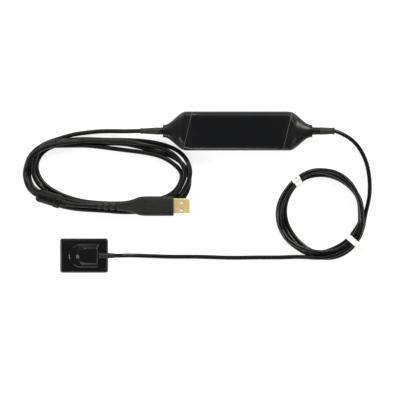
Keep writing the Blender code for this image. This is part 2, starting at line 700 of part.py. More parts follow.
# Middle line of the USB cord's oval loop, anticlockwise from above, and the loop's section
# there: x, y, how far it reaches outwards and inwards, and its top.
USB_LOOP = [(-103, -10.0, 4.5, 4.9, 7.0), (-120.5, -9.1, 4.2, 4.1, 7.2),
            (-137, -9.8, 3.9, 3.6, 7.2), (-152.5, -14.6, 5.3, 2.8, 6.2),
            (-161, -22.5, 5.3, 5.0, 4.6), (-163, -32.2, 6.4, 6.8, 3.8),
            (-160, -41.6, 7.1, 7.7, 3.8), (-153.5, -48.3, 6.0, 7.5, 4.4),
            (-141.5, -54.0, 6.0, 6.2, 5.0), (-126.5, -57.6, 5.4, 4.9, 6.2),
            (-108, -59.5, 4.8, 4.3, 6.3), (-88, -60.1, 5.3, 5.0, 6.3), (-70, -58.4, 6.2, 5.4, 6.3),
            (-51.5, -53.7, 6.8, 5.7, 6.2), (-43.4, -43.9, 6.5, 4.8, 5.6),
            (-41, -33.5, 5.0, 4.7, 5.4), (-47.3, -23.6, 7.8, 5.5, 5.4),
            (-59.5, -17.3, 8.3, 4.8, 5.6), (-73, -13.3, 6.9, 5.3, 6.2),
            (-87.5, -11.1, 5.5, 5.6, 6.8)]
USB_LEAD = [(-76.8, 0, 8.5), (-81, -0.1, 8.1), (-89, -0.2, 5.3), (-97, 0, 2.5), (-105, 0, 1.8),
            (-113, -0.5, 1.75), (-121, -1.4, 1.75), (-129.5, -2.7, 1.75)]
USB_TAIL_START = [(-167.1, -31.5, 6.0), (-167.2, -35.5, 6.0), (-166.2, -40.0, 7.2),
                  (-163.9, -44.8, 9.2)]
USB_TAIL_END = [(-128.4, -58.4, 10.6), (-118, -59.1, 10.5), (-110.9, -59.1, 10.5)]
SENSOR_LEAD = [(77.1, 0, 8.5), (78.5, -0.3, 8.45), (81, -1.5, 8.0), (85, -3.6, 7.2),
               (89, -6.2, 5.9), (93, -9.7, 4.4), (101.0, -22.8, 1.7), (104.4, -40.9, 1.65),
               (103.9, -52.8, 1.65), (101.7, -64.0, 1.65)]
SENSOR_TAIL = [(51.5, -99.4, 1.65), (36, -99.6, 1.65), (17.8, -99.7, 1.65), (-6, -99.9, 1.65),
               (-30, -99.2, 1.65), (-53, -99.1, 1.65), (-69, -98.6, 1.8), (-79, -98.2, 3.2),
               (-88, -98.1, 6.0), (-93, -98.2, 7.3), (-96.0, -98.2, 7.45)]


def section(middle, across, half_width, bottom, top, chamfer):
    """Upright section of a coil's solid, with chamfered edges."""
    outline = [(-half_width, bottom + chamfer), (-half_width, top - chamfer),
               (-half_width + chamfer, top), (half_width - chamfer, top),
               (half_width, top - chamfer), (half_width, bottom + chamfer),
               (half_width - chamfer, bottom), (-half_width + chamfer, bottom)]
    return [(middle[0] + across[0] * offset, middle[1] + across[1] * offset, z)
            for offset, z in outline]


def usb_coil():
    stations = curve_through(USB_LOOP, 3, closed=True)
    rings = []
    count = len(stations)
    for index, (x, y, outwards, inwards, top) in enumerate(stations):
        before, after = stations[index - 1], stations[(index + 1) % count]
        along = Vector((after[0] - before[0], after[1] - before[1])).normalized()
        across = Vector((along.y, -along.x))
        middle = Vector((x, y)) + across * (outwards - inwards) / 2
        rings.append(section(middle, across, (outwards + inwards) / 2, 0.0, top, LOOP_CHAMFER))
    add_object("usb_cord_coil", loft(rings, closed=True), CORD_JACKET, None)


def tie_lift(angle):
    """How far the straps under the coil lift it at an angle in degrees."""
    lift = 0.0
    for tie in TIE_ANGLES:
        apart = abs((angle - tie + 180) % 360 - 180)
        if apart < TIE_LIFT_SPREAD:
            lift = max(lift, TIE_LIFT * (0.5 + 0.5 * math.cos(math.pi * apart / TIE_LIFT_SPREAD)))
    return lift


def coil_edges(angle):
    """Direction from the coil's centre at an angle, and its inner edge, outer edge and top there."""
    direction = Vector((math.cos(math.radians(angle)), math.sin(math.radians(angle))))
    count = len(COIL_EDGES)
    row, share = divmod(-angle / COIL_STEP, 1)
    near, far = COIL_EDGES[int(row) % count], COIL_EDGES[(int(row) + 1) % count]
    return direction, [a + (b - a) * share for a, b in zip(near, far)]


def sensor_coil(parent):
    rings = []
    count = 3 * len(COIL_EDGES)
    for step in range(count):
        angle = 360 * step / count
        direction, (inner, outer, top) = coil_edges(angle)
        middle = direction * (inner + outer) / 2
        rings.append(section(middle, direction, (outer - inner) / 2, tie_lift(angle), top,
                             COIL_CHAMFER))
    add_object("sensor_cord_coil", loft(rings, closed=True), CORD_JACKET, parent)


def cable_tie(name, angle, width, head_on_top, parent):
    """Nylon strap round the coil, with its lock head, and the cut end beyond a head outside."""
    direction, (inner, outer, top) = coil_edges(angle)
    along = Vector((-direction.y, direction.x))
    middle = direction * (inner + outer) / 2
    height = (top - TIE_LIFT) / 2
    centre_z = TIE_LIFT + height

    def place(across, up, run):
        spot = middle + direction * across + along * run
        return (spot.x, spot.y, centre_z + up)

    inner_half = ((outer - inner) / 2 + TIE_ROOM[0], height + TIE_ROOM[1])
    rings = []
    for grow, run in ((0, -1), (TIE_THICKNESS, -1), (TIE_THICKNESS, 1), (0, 1)):
        outline = rounded_rectangle(inner_half[0] + grow, inner_half[1] + grow,
                                    TIE_CORNER + grow, 3)
        rings.append([place(across, up, run * width / 2) for across, up in outline])
    tie = add_object(name, loft(rings, closed=True), WHITE_NYLON, parent)
    rim = inner_half[0] + TIE_THICKNESS / 2
    if head_on_top:
        top_up = inner_half[1] + TIE_THICKNESS / 2
        blocks = [((rim - 4.2, top_up), (rim + 0.4, top_up + 2.4), 3.4)]
    else:
        blocks = [((rim, -2.2), (rim + 3.6, 2.2), width / 2 + 0.1),
                  ((rim + 3.0, -0.6), (rim + 7.0, 0.6), 1.25)]
    for low, high, half_run in blocks:
        corners = [(low[0], low[1]), (high[0], low[1]), (high[0], high[1]), (low[0], high[1])]
        shape = loft([[place(across, up, run) for across, up in corners]
                      for run in (-half_run, half_run)])
        combine(tie, shape, "UNION")


def cords():
    cord_tube("usb_cord_lead", USB_LEAD, USB_CORD_RADIUS)
    usb_coil()
    turn = math.radians(FERRITE_TURN)
    axis = Vector((math.cos(turn), math.sin(turn), 0))
    through = [Vector(FERRITE_PLACE) + axis * distance
               for distance in (-12.2, -11.2, -10.2, -5, 0, 5, 10, 13, 15.5)]
    cord_tube("usb_cord_tail", USB_TAIL_START + through + USB_TAIL_END, USB_CORD_RADIUS)
    cord_tube("sensor_cord_lead", SENSOR_LEAD, SENSOR_CORD_RADIUS)
    coil = add_empty("sensor_coil", COIL_PLACE)
    sensor_coil(coil)
    ties = zip(TIE_ANGLES, TIE_WIDTHS, (True, False))
    for number, (angle, width, head_on_top) in enumerate(ties, start=1):
        cable_tie(f"cable_tie_{number}", angle, width, head_on_top, coil)
    cord_tube("sensor_cord_tail", SENSOR_TAIL, SENSOR_CORD_RADIUS)


def main():
    clear_scene()
    interface_box()
    sensor_head()
    usb_plug()
    ferrite_bead()
    cords()


main()
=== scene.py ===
"""Looks of the intraoral X-ray sensor: its cords, mouldings, metalwork and every material.

Sizes are in millimetres, and MM turns them into metres where a mesh or a place is made. The
origin is the middle of the interface box's underside, +X runs along the box towards the sensor
cord, and the table is the plane z = 0.
"""
import math

import bmesh
import bpy
import numpy as np
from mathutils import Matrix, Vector


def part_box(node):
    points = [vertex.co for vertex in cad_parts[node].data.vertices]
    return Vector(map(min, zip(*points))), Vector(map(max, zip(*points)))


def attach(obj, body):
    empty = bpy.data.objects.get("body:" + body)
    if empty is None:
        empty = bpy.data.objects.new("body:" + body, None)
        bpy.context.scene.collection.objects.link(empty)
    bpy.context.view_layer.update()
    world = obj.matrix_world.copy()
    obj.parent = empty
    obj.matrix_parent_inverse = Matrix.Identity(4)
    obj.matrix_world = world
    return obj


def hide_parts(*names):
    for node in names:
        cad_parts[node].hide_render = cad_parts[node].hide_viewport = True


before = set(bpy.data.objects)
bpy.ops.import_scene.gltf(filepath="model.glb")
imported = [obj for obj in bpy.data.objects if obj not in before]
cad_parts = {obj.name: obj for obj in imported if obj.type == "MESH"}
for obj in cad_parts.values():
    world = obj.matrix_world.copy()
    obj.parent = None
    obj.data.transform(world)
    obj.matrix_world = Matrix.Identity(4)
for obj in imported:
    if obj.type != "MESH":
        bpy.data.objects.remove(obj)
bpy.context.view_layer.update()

MM = 0.001

# View and light
VIEW_CENTRE = (-29.6, -54.35)
VIEW_HEIGHT = 3000.0
VIEW_WIDTH = 316.0
CAMERA_SENSOR = 36.0
CLIP_END = 20.0                 # metres
WHITE = (1.0, 1.0, 1.0)
WARM = (1.0, 0.96, 0.84)
SKY_STRENGTH = 0.3
FLOOR_HALF = 4.0                # metres
FLOOR_TONES = (0.4, 0.42)
FLOOR_MOTTLE = 400.0
FLOOR_GLOW = 0.8
FLOOR_DROP = 0.2                # below the table plane, so that nothing flickers against it
# Studio lights: name, place and size in metres, radiance, colour.
LIGHTS = [("back_panel", (-0.1, 1.35, 1.05), (2.6, 1.6), 0.65, WHITE),
          ("back_left", (-0.4, 1.35, 0.8), (0.5, 0.35), 8.0, WARM),
          ("front_strip", (-0.51, -1.5, 0.34), (1.1, 0.3), 8.0, WHITE),
          ("left_panel", (-1.7, -0.3, 0.6), (0.6, 0.5), 14.0, WHITE),
          ("right_panel", (1.6, -0.3, 0.6), (0.6, 0.4), 6.0, WHITE),
          ("key", (1.0, 1.15, 1.15), (0.9, 0.7), 17.0, WARM)]

# Interface box; its main sizes are the CAD's
BOX_HALF_WIDTH = 15.4
BOX_HALF_HEIGHT = 8.5
BOX_CORNER = 4.5
CORNER_DRAW = 0.6               # how fast the corner tightens with the inset
ROUNDEST = 0.97                 # greatest corner, as a share of the half height
BOX_WALL = 1.8
HALVES_GAP = 0.16               # between the sleeve's top and bottom half
SHOULDER_X = 40.7
TAPER_LENGTH = 17.4
CAP_ROUNDING = 5.5              # over which a cap's section turns from flat-topped to oval
COLLAR_X = 58.9
COLLAR_RADIUS = 4.94
# The collar's rim: distance behind its face, inset. Its bore: distance behind the face, radius.
COLLAR_RIM = [(0.3, 0.0), (0.1, 0.08), (0.0, 0.3)]
COLLAR_BORE = [(0.0, 3.9), (0.2, 3.7), (1.4, 3.5), (1.5, 2.7), (4.0, 2.7)]
SEAM_X = 39.3
SEAM_SLANT = 0.24
SEAM_GAP = 0.3
SEAM_EDGE = 0.35                # rounding of both edges at the seam
SEAM_BEVEL = (0.1, 0.12)        # a point on that rounding: distance from the seam, inset
# How deep the pale strip of painted seam highlight reaches into the seam.
SEAM_STRIP_DEPTH = 1.6
TONGUE_LENGTH = 3.0             # of the end cap's lip inside the sleeve
TONGUE_PLAY = 0.1
CAP_WALL = 1.0
LABEL_HALF = (36.0, 10.75)
LABEL_DEPTH = 0.6
LABEL_CORNER = 1.5
LABEL_PLAY = 0.12
LABEL_ROUNDING = 0.2
SCREW_PLACES = [(x, y) for x in (-31.0, 31.0) for y in (-10.2, 10.2)]
SCREW_WELL = [(-1, 2.2), (0.0, 2.2), (0.3, 1.9), (2.5, 1.9)]       # height, radius
RELIEF_LENGTH = 17.3
RELIEF_OFFSET = 0.3             # between the collar's face and where that length starts
RELIEF_GAP = 0.1                # between the collar's face and the relief
RELIEF_ROOT = (5.5, 2.3)        # of the part inside the collar: length, radius
NECK_STEP = 0.15                # how much thinner the dark neck is than the tail
# The lip at a relief's tip: distance behind the tip, growth over the tip's radius.
RELIEF_LIP = [(2.2, 0.0), (1.6, 0.0), (1.4, 0.25), (0.3, 0.25), (0.0, -0.1), (0.0, -0.7)]

# Cords
USB_CORD_RADIUS = 1.75
SENSOR_CORD_RADIUS = 1.65
CORD_STEP = 1.0                 # between the points that a cord's line is worked out at
CORD_PRESS = 0.4                # how far strands that cross press into each other
HUMP_REACH = 4                  # steps over which a cord rises before a crossing
LAYING_PASSES = 9               # at most this many strands lie over each other
CROSSING_APART = 6              # cord radii along the cord before it can cross itself

# Sensor coil and its ties
COIL_CENTRE = (66.0, -65.0)
COIL_STEP = 24                  # degrees between the rows of COIL_LANES
COIL_MIDDLE = 32.0              # radius of the coil's middle strands
COIL_BAND = 8.0                 # how far from there strands still feel the ties
COIL_REACH = 40.0               # radius beyond which strands don't belong to the coil
TIE_ANGLES = (126.6, -41.0)
TIE_WIDTHS = (5.8, 4.4)
TIE_STRAP = 1.0
TIE_PLAY = 0.06                 # between the strands and a strap
TIE_LIFT = 1.2                  # how far a strap holds the strands off the table
TIE_SPREAD = 32.0               # degrees on each side of a tie over which they come down again
TIE_REACH = 4.0                 # degrees on each side over which a strap has to clear them
TIE_CORNER = 1.2
# Cross-section of a strap: distance from the strands, place across it in half widths.
TIE_SECTION = [(0.0, -0.92), (0.0, 0.92), (0.5, 1.0), (TIE_STRAP, 0.92), (TIE_STRAP, -0.92),
               (0.5, -1.0)]
# Locks of the ties, one on top of the coil and one outside it, and the cut end of a strap. Half
# sizes are along the coil's radius and across it, and levels are (height, inset).
LOCK_CORNER = 0.6
TOP_LOCK_HALF = (2.3, 3.4)
TOP_LOCK_HEIGHT = 2.4
TOP_LOCK_ROUNDING = 0.5
TOP_LOCK_INWARD = 1.0           # its middle, from the coil's outer radius
TOP_LOCK_BASE = 0.4             # over the strands
LOCK_SLOT_HALF = (0.7, 1.6)
LOCK_SLOT_CORNER = 0.2
LOCK_SLOT_BASE = 1.6            # over the strands
SIDE_LOCK_DEPTH = 2.0
SIDE_LOCK_LEVELS = [(-2.2, 0.5), (-1.9, 0.1), (-1.5, 0), (1.5, 0), (1.9, 0.1), (2.2, 0.5)]
SIDE_LOCK_OUTWARD = 1.5         # its middle, from the strap's outer side
CUT_END_HALF = (2.6, 1.25)
CUT_END_CORNER = 0.3
CUT_END_LEVELS = [(-0.6, 0.1), (-0.5, 0), (0.5, 0), (0.6, 0.1)]
CUT_END_OUTWARD = 5.0           # its middle, from the strap's outer side

# Plug, ferrite bead and sensor head; their main sizes are the CAD's
PLUG_SHELL_HALF = (6.0, 2.25)
PLUG_SHELL_LENGTH = 12.6
FERRITE_TURN = -17.5            # degrees about Z
HEAD_HALF = (18.9, 13.55)
HEAD_CORNER = 2.0
TRAY_LEVELS = [(0, 0.6), (0.18, 0.18), (0.6, 0), (2.5, 0), (2.62, 0.1)]     # height, inset
COVER_EDGE = (2.78, 0.1)        # height, inset
COVER_SIDE_Z = 2.9
COVER_ROUNDING = 2.05
HEAD_PLATE_Z = 5.0
HUMP_RIGHT = 11.8
HUMP_CORNER = 1.0
NOSE_STRETCH = 1.05             # length of the hump's rounded end, in half widths
BOOT_Z = 7.45
BOOT_PROFILE = [(9.0, 1.3), (HUMP_RIGHT - 0.2, 1.3), (HUMP_RIGHT - 0.2, 2.6), (12.6, 2.6),
                (12.8, 2.1), (19.5, 2.1), (23.9, 1.85), (24.5, 1.6), (24.8, 1.65)]


def centre_of(*nodes):
    """Middle of the box round some CAD nodes, in millimetres."""
    corners = [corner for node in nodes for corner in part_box(node)]
    return [(min(c[k] for c in corners) + max(c[k] for c in corners)) / 2 / MM for k in range(3)]


HEAD_PLACE = (*centre_of("head_front_shell")[:2], 0.0)
FERRITE_PLACE = centre_of("ferrite_core")
PLUG_AXIS = centre_of("plug_shell")
# The middle of the front face of the plug's grip.
PLUG_PLACE = (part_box("plug_overmold")[1].x / MM, PLUG_AXIS[1], PLUG_AXIS[2])


# Materials

NOISE_RANGE = (0.3, 0.7)        # that most of a noise texture's values lie in
SHEEN_SHARE = 0.6               # size of the gloss's patches, as a share of the colour's
GLOW_DEPTH = 0.8                # how deep light gets into a glowing material


def srgb(red, green, blue):
    """Turn display values, 0 to 255, into a linear colour."""
    return (*((value / 255) ** 2.2 for value in (red, green, blue)), 1.0)


def material_nodes(name):
    """New material, with its nodes, their links and its shader."""
    material = bpy.data.materials.new(name)
    material.use_nodes = True
    nodes = material.node_tree.nodes
    return material, nodes, material.node_tree.links, nodes["Principled BSDF"]


def noise(nodes, links, size, detail=3.0, stretch=(1, 1, 1)):
    """Noise whose grains are about size millimetres across, fixed to the object."""
    place = nodes.new("ShaderNodeTexCoord")
    mapping = nodes.new("ShaderNodeMapping")
    mapping.inputs["Scale"].default_value = stretch
    texture = nodes.new("ShaderNodeTexNoise")
    texture.inputs["Scale"].default_value = 1 / (size * MM)
    texture.inputs["Detail"].default_value = detail
    links.new(place.outputs["Object"], mapping.inputs["Vector"])
    links.new(mapping.outputs["Vector"], texture.inputs["Vector"])
    return texture.outputs["Fac"]


def spread(nodes, links, value, low, high):
    """Map noise, which stays near the middle of 0 to 1, onto a range."""
    ranged = nodes.new("ShaderNodeMapRange")
    ranged.inputs["From Min"].default_value = NOISE_RANGE[0]
    ranged.inputs["From Max"].default_value = NOISE_RANGE[1]
    ranged.inputs["To Min"].default_value = low
    ranged.inputs["To Max"].default_value = high
    links.new(value, ranged.inputs["Value"])
    return ranged.outputs["Result"]


def mixed(nodes, links, share, dark, light):
    """Blend two colours by a share that comes from a node."""
    mix = nodes.new("ShaderNodeMix")
    mix.data_type = "RGBA"
    mix.inputs["A"].default_value = dark
    mix.inputs["B"].default_value = light
    links.new(share, mix.inputs["Factor"])
    return mix.outputs["Result"]


def surface(name, dark, light, roughness, grain, depth, mottle=6.0, metallic=0.0,
            stretch=(1, 1, 1), glow=0.0, specular=0.3):
    """Mottled colour, uneven gloss and a fine grain; roughness is (low, high), sizes in mm."""
    material, nodes, links, shader = material_nodes(name)
    patches = spread(nodes, links, noise(nodes, links, mottle, 4.0, stretch), 0.0, 1.0)
    links.new(mixed(nodes, links, patches, dark, light), shader.inputs["Base Color"])
    sheen = noise(nodes, links, mottle * SHEEN_SHARE, 5.0, stretch)
    links.new(spread(nodes, links, sheen, *roughness), shader.inputs["Roughness"])
    bump = nodes.new("ShaderNodeBump")
    bump.inputs["Distance"].default_value = depth * MM
    bump.inputs["Strength"].default_value = 1.0
    links.new(noise(nodes, links, grain, 2.0, stretch), bump.inputs["Height"])
    links.new(bump.outputs["Normal"], shader.inputs["Normal"])
    shader.inputs["Metallic"].default_value = metallic
    shader.inputs["Specular IOR Level"].default_value = specular
    shader.inputs["Subsurface Weight"].default_value = glow
    shader.inputs["Subsurface Scale"].default_value = GLOW_DEPTH * MM
    return material


def patterned(material, kind, settings):
    """Put a procedural pattern, fixed to the object, in place of a material's mottled colour."""
    nodes, links = material.node_tree.nodes, material.node_tree.links
    place = nodes.new("ShaderNodeTexCoord")
    pattern = nodes.new(kind)
    for name, value in settings.items():
        pattern.inputs[name].default_value = value
    links.new(place.outputs["Object"], pattern.inputs["Vector"])
    links.new(pattern.outputs["Color"], nodes["Principled BSDF"].inputs["Base Color"])
    return material


CASE = surface("moulded_case", srgb(16, 17, 18), srgb(20, 21, 22), (0.16, 0.24), 0.25, 0.006,
               specular=0.36)
CAP = surface("moulded_cap", srgb(14, 16, 16), srgb(18, 20, 19), (0.28, 0.38), 0.3, 0.01,
              specular=0.32)
GLOSS = surface("label_gloss", srgb(17, 18, 20), srgb(20, 21, 24), (0.08, 0.16), 5.0, 0.004, 14.0)
HEAD_SKIN = surface("head_skin", srgb(15, 15, 16), srgb(20, 20, 21), (0.14, 0.22), 0.5, 0.004,
                    specular=0.26)
RUBBER = surface("moulded_rubber", srgb(38, 39, 34), srgb(47, 48, 42), (0.5, 0.65), 0.2, 0.02, 3.0)
GRIP = surface("grip_rubber", srgb(31, 31, 29), srgb(37, 37, 34), (0.45, 0.6), 0.18, 0.018, 4.0)
JACKET = surface("cord_jacket", srgb(19, 19, 19), srgb(26, 26, 26), (0.3, 0.42), 0.3, 0.012, 9.0,
                 specular=0.24)
THIN_JACKET = surface("thin_cord_jacket", srgb(8, 8, 8), srgb(12, 12, 12), (0.24, 0.32),
                      0.25, 0.006, 7.0, specular=0.27)
BEAD = surface("bead_cover", srgb(12, 12, 12), srgb(17, 17, 17), (0.42, 0.56), 0.25, 0.015, 4.0,
               specular=0.18)
# Pale grey of the strips in the seams: a painted highlight, for light caught on the seams' rounded
# edges.
SEAM_HIGHLIGHT_PAINT = surface("painted_seam_highlight", srgb(78, 79, 77), srgb(92, 93, 90), (0.5, 0.6), 0.2, 0.01)
GOLD = surface("gold_plate", srgb(236, 208, 146), srgb(246, 222, 168), (0.3, 0.45), 0.3, 0.004,
               6.0, 0.6)
STEEL = surface("bright_steel", srgb(160, 162, 166), srgb(186, 188, 192), (0.25, 0.4), 0.25, 0.004,
                2.0, 1.0, stretch=(0.3, 1, 1))
NYLON = surface("white_nylon", srgb(238, 238, 235), srgb(248, 248, 246), (0.35, 0.5), 0.3, 0.01,
                3.0, glow=0.2)
CREAM = surface("cream_insulator", srgb(238, 233, 216), srgb(246, 243, 230), (0.4, 0.5), 0.3, 0.01)
CHIP = surface("chip_package", srgb(28, 28, 30), srgb(36, 36, 38), (0.5, 0.65), 0.15, 0.01, 1.5)
FERRITE = surface("sintered_ferrite", srgb(56, 56, 58), srgb(74, 74, 78), (0.6, 0.8), 0.12, 0.03)
GLASS = surface("fibre_plate", srgb(186, 198, 206), srgb(206, 216, 222), (0.06, 0.12), 0.1, 0.002)
PHOSPHOR = surface("phosphor_screen", srgb(212, 222, 186), srgb(224, 232, 202), (0.75, 0.9), 0.1,
                   0.01)
# Solder mask with paler copper tracks, and a polished chip with the faint lattice of its pixels.
BOARD = patterned(
    surface("solder_mask", srgb(16, 70, 42), srgb(22, 84, 52), (0.3, 0.45), 0.4, 0.01),
    "ShaderNodeTexBrick",
    {"Scale": 260.0, "Mortar Size": 0.04, "Color1": srgb(16, 70, 42),
     "Color2": srgb(20, 80, 48), "Mortar": srgb(60, 130, 84)})
SILICON = patterned(
    surface("sensor_silicon", srgb(58, 64, 84), srgb(72, 78, 98), (0.12, 0.2), 2.0, 0.002),
    "ShaderNodeTexChecker",
    {"Scale": 4000.0, "Color1": srgb(58, 64, 84), "Color2": srgb(76, 84, 108)})


# Pieces

SHARP_EDGE = 30.0               # degrees between faces above which an edge isn't smoothed
SMALLEST_CORNER = 0.15
SIDE_SHARE = 0.45               # of a profile's side that the rounding of a corner may take up
ROUND = 0.99                    # corner, as a share of half a square's side, that makes it round


def linked(name, shape):
    """Link a bmesh in millimetres as an object in metres."""
    bmesh.ops.recalc_face_normals(shape, faces=shape.faces)
    bmesh.ops.scale(shape, vec=(MM, MM, MM), verts=shape.verts)
    mesh = bpy.data.meshes.new(name)
    shape.to_mesh(mesh)
    shape.free()
    item = bpy.data.objects.new(name, mesh)
    bpy.context.scene.collection.objects.link(item)
    return item


def shade(mesh):
    """Smooth a mesh, except at its sharp edges."""
    mesh.shade_smooth()
    mesh.set_sharp_from_angle(angle=math.radians(SHARP_EDGE))


def add_piece(name, shape, material, replaces=()):
    """Make a piece that rides on the body and stands for CAD nodes, or for none."""
    piece = linked(name, shape)
    shade(piece.data)
    piece.data.materials.append(material)
    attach(piece, "root")
    if replaces:
        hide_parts(*replaces)
    return piece


def combine(piece, shape, operation="DIFFERENCE"):
    """Cut a shape out of a piece, or join it on, and keep the result."""
    tool = linked("tool", shape)
    boolean = piece.modifiers.new("boolean", "BOOLEAN")
    boolean.operation = operation
    boolean.solver = "EXACT"
    boolean.object = tool
    seen = bpy.context.evaluated_depsgraph_get()
    result = bpy.data.meshes.new_from_object(piece.evaluated_get(seen))
    piece.modifiers.clear()
    piece.data = result
    shade(result)
    bpy.data.objects.remove(tool)


def moved(shape, place=(0, 0, 0), turn=0.0):
    """Turn a shape about Z, in degrees, and move it."""
    angle = math.radians(turn)
    for vert in shape.verts:
        x, y, z = vert.co
        vert.co = (place[0] + x * math.cos(angle) - y * math.sin(angle),
                   place[1] + x * math.sin(angle) + y * math.cos(angle), place[2] + z)
    return shape


def loft(rings, closed=False):
    """Skin rings of equal length; closed joins the last to the first, or else ends are capped."""
    shape = bmesh.new()
    loops = [[shape.verts.new(point) for point in ring] for ring in rings]
    following = loops[1:] + loops[:1] if closed else loops[1:]
    for near, far in zip(loops, following):
        for index in range(len(near)):
            after = (index + 1) % len(near)
            shape.faces.new((near[index], near[after], far[after], far[index]))
    if not closed:
        shape.faces.new(loops[0])
        shape.faces.new(loops[-1])
    return shape


def rounded_rectangle(half_width, half_height, corner, steps=10):
    """Points of a rounded rectangle about the origin, anticlockwise."""
    points = []
    for quarter, (side, level) in enumerate(((1, 1), (-1, 1), (-1, -1), (1, -1))):
        for step in range(steps + 1):
            angle = math.radians(90 * (quarter + step / steps))
            points.append((side * (half_width - corner) + corner * math.cos(angle),
                           level * (half_height - corner) + corner * math.sin(angle)))
    return points


def upright_block(half_size, corner, levels, centre=(0, 0), steps=8):
    """Rounded rectangle standing along Z; levels lists (z, how far the outline draws in)."""
    rings = []
    for z, inset in levels:
        outline = rounded_rectangle(half_size[0] - inset, half_size[1] - inset,
                                    max(corner - inset, SMALLEST_CORNER), steps)
        rings.append([(centre[0] + x, centre[1] + y, z) for x, y in outline])
    return loft(rings)


def rounded_levels(bottom, top, radius, steps=4):
    """Levels of a block whose top edge is rounded."""
    levels = [(bottom, 0.0)]
    for step in range(steps + 1):
        angle = math.radians(90 * step / steps)
        levels.append((top - radius + radius * math.sin(angle), radius - radius * math.cos(angle)))
    return levels


def turned(profile, axis="x", centre=(0, 0, 0), steps=40, closed=False):
    """Turn a profile of (distance, radius) about an axis through a point."""
    rings = []
    for distance, radius in profile:
        ring = []
        for step in range(steps):
            angle = math.tau * step / steps
            across, up = radius * math.cos(angle), radius * math.sin(angle)
            spot = (distance, across, up) if axis == "x" else (across, up, distance)
            ring.append(tuple(a + b for a, b in zip(spot, centre)))
        rings.append(ring)
    return loft(rings, closed)


def softened(profile, radius=0.25, steps=3):
    """Round the corners of an open profile with short arcs."""
    result = [profile[0]]
    for before, corner, after in zip(profile, profile[1:], profile[2:]):
        spot = Vector(corner)
        back, onward = Vector(before) - spot, Vector(after) - spot
        reach = min(radius, SIDE_SHARE * back.length, SIDE_SHARE * onward.length)
        start = spot + back.normalized() * reach
        end = spot + onward.normalized() * reach
        for step in range(steps + 1):
            t = step / steps
            result.append(tuple(start * (1 - t) ** 2 + spot * 2 * t * (1 - t) + end * t ** 2))
    result.append(profile[-1])
    return result


# Cords

USB_LEAD = [(-74.0, 0, 8.5), (-77.5, 0, 8.45), (-81.5, -0.1, 7.9), (-89, -0.2, 5.3), (-97, 0, 2.5),
            (-105, 0, 1.8), (-113, -0.5, 1.75), (-121, -1.4, 1.75), (-130, -2.8, 1.75),
            (-138.5, -5.2, 1.75)]
# The USB cord's loop, in the order the cord runs through it, anticlockwise from above: a place
# on its middle line, and how far each of the four turns lies outside that line.
USB_LOOP = [
    (-152.5, -14.6, (3.8, -1.0, 1.0, 2.2)), (-161, -22.5, (3.7, -3.4, 0.9, -1.2)),
    (-163, -32.2, (4.4, -5.0, 1.4, -1.9)), (-160, -41.6, (5.2, -5.9, 2.5, -2.3)),
    (-153.5, -48.3, (4.4, -5.8, 1.2, -2.4)), (-141.5, -54.0, (4.2, -4.6, 1.4, -1.8)),
    (-126.5, -57.6, (3.8, -3.2, 0.5, -1.4)), (-108, -59.5, (3.1, -2.7, 0.1, -1.3)),
    (-88, -60.1, (3.8, -3.3, 0.5, -1.5)), (-70, -58.4, (4.6, -3.7, 1.4, -1.2)),
    (-51.5, -53.7, (5.2, -4.0, 2.0, -1.2)), (-43.4, -43.9, (4.8, -3.0, 2.4, -1.3)),
    (-41, -33.5, (2.1, -3.2, 3.7, -0.5)), (-47.3, -23.6, (0.8, -3.8, 6.3, 1.4)),
    (-59.5, -17.3, (0.0, -3.0, 6.6, 3.4)), (-73, -13.3, (-0.3, -3.7, 5.3, 2.5)),
    (-87.5, -11.1, (0.7, -4.0, 4.0, 2.4)), (-103, -10, (0.4, -3.1, 3.1, 1.7)),
    (-120.5, -9.1, (0.0, -2.3, 2.7, 1.2)), (-137, -9.8, (-0.3, -1.7, 2.4, 0.4))]
USB_TURNS = 4
USB_TAIL_OFFSETS = (1.3, 2.4, 4.6)        # over the loop's first places, before it turns away
USB_TAIL = [(-167.0, -38.2, 5.4), (-164.6, -44.5, 8.0)]
BEAD_STOPS = (-10.5, 0.0, 12.0)           # where the cord is held on the ferrite bead's axis
PLUG_APPROACH = [(-124, 0.6), (-113, 0.0)]        # x, and how far beside the plug's axis
CORD_IN_GRIP = 58.0                       # the cord's end, behind the front of the plug's grip
SENSOR_LEAD = [(73.5, 0, 8.5), (76.5, -0.1, 8.5), (79.4, -1.0, 8.3), (84.9, -3.6, 7.2),
               (89, -6.2, 5.9), (93, -9.7, 4.4), (101.0, -22.8, 1.7), (104.4, -40.9, 1.65),
               (103.9, -52.8, 1.65)]
# Radius of each turn of the sensor coil, clockwise from above from the +X direction in steps of
# COIL_STEP. Where there is a fifth number, it is the cord's tail on its way out of the coil.
COIL_LANES = [(35.2, 32.5, 30.5, 32.0, 31.6), (35.1, 30.0, 32.0, 31.3, 33.9),
              (36.2, 29.3, 32.7, 31.4, 34.5), (36.1, 29.4, 32.8, 31.2, 34.5),
              (34.4, 30.7, 32.3, 30.4, 35.1), (33.2, 28.7, 31.5, 31.2), (33.8, 27.6, 30.4, 33.2),
              (34.4, 28.0, 30.8, 33.3), (34.0, 28.7, 31.2, 32.8), (33.1, 29.5, 31.0, 32.4),
              (33.7, 30.5, 32.2, 33.2), (34.5, 30.4, 32.8, 34.0), (33.5, 30.3, 31.9, 34.2),
              (32.6, 30.6, 31.5, 33.3), (32.1, 31.3, 32.3, 31.6)]
SENSOR_TAIL = [(53.5, -99.4, 1.65), (36, -99.6, 1.65), (17.8, -99.7, 1.65), (-6, -99.9, 1.65),
               (-30, -99.2, 1.65), (-53, -99.1, 1.65), (-69, -98.6, 1.8), (-79, -98.2, 3.2),
               (-88, -98.1, 6.0), (-93, -98.2, 7.3), (-97.5, -98.2, 7.45)]


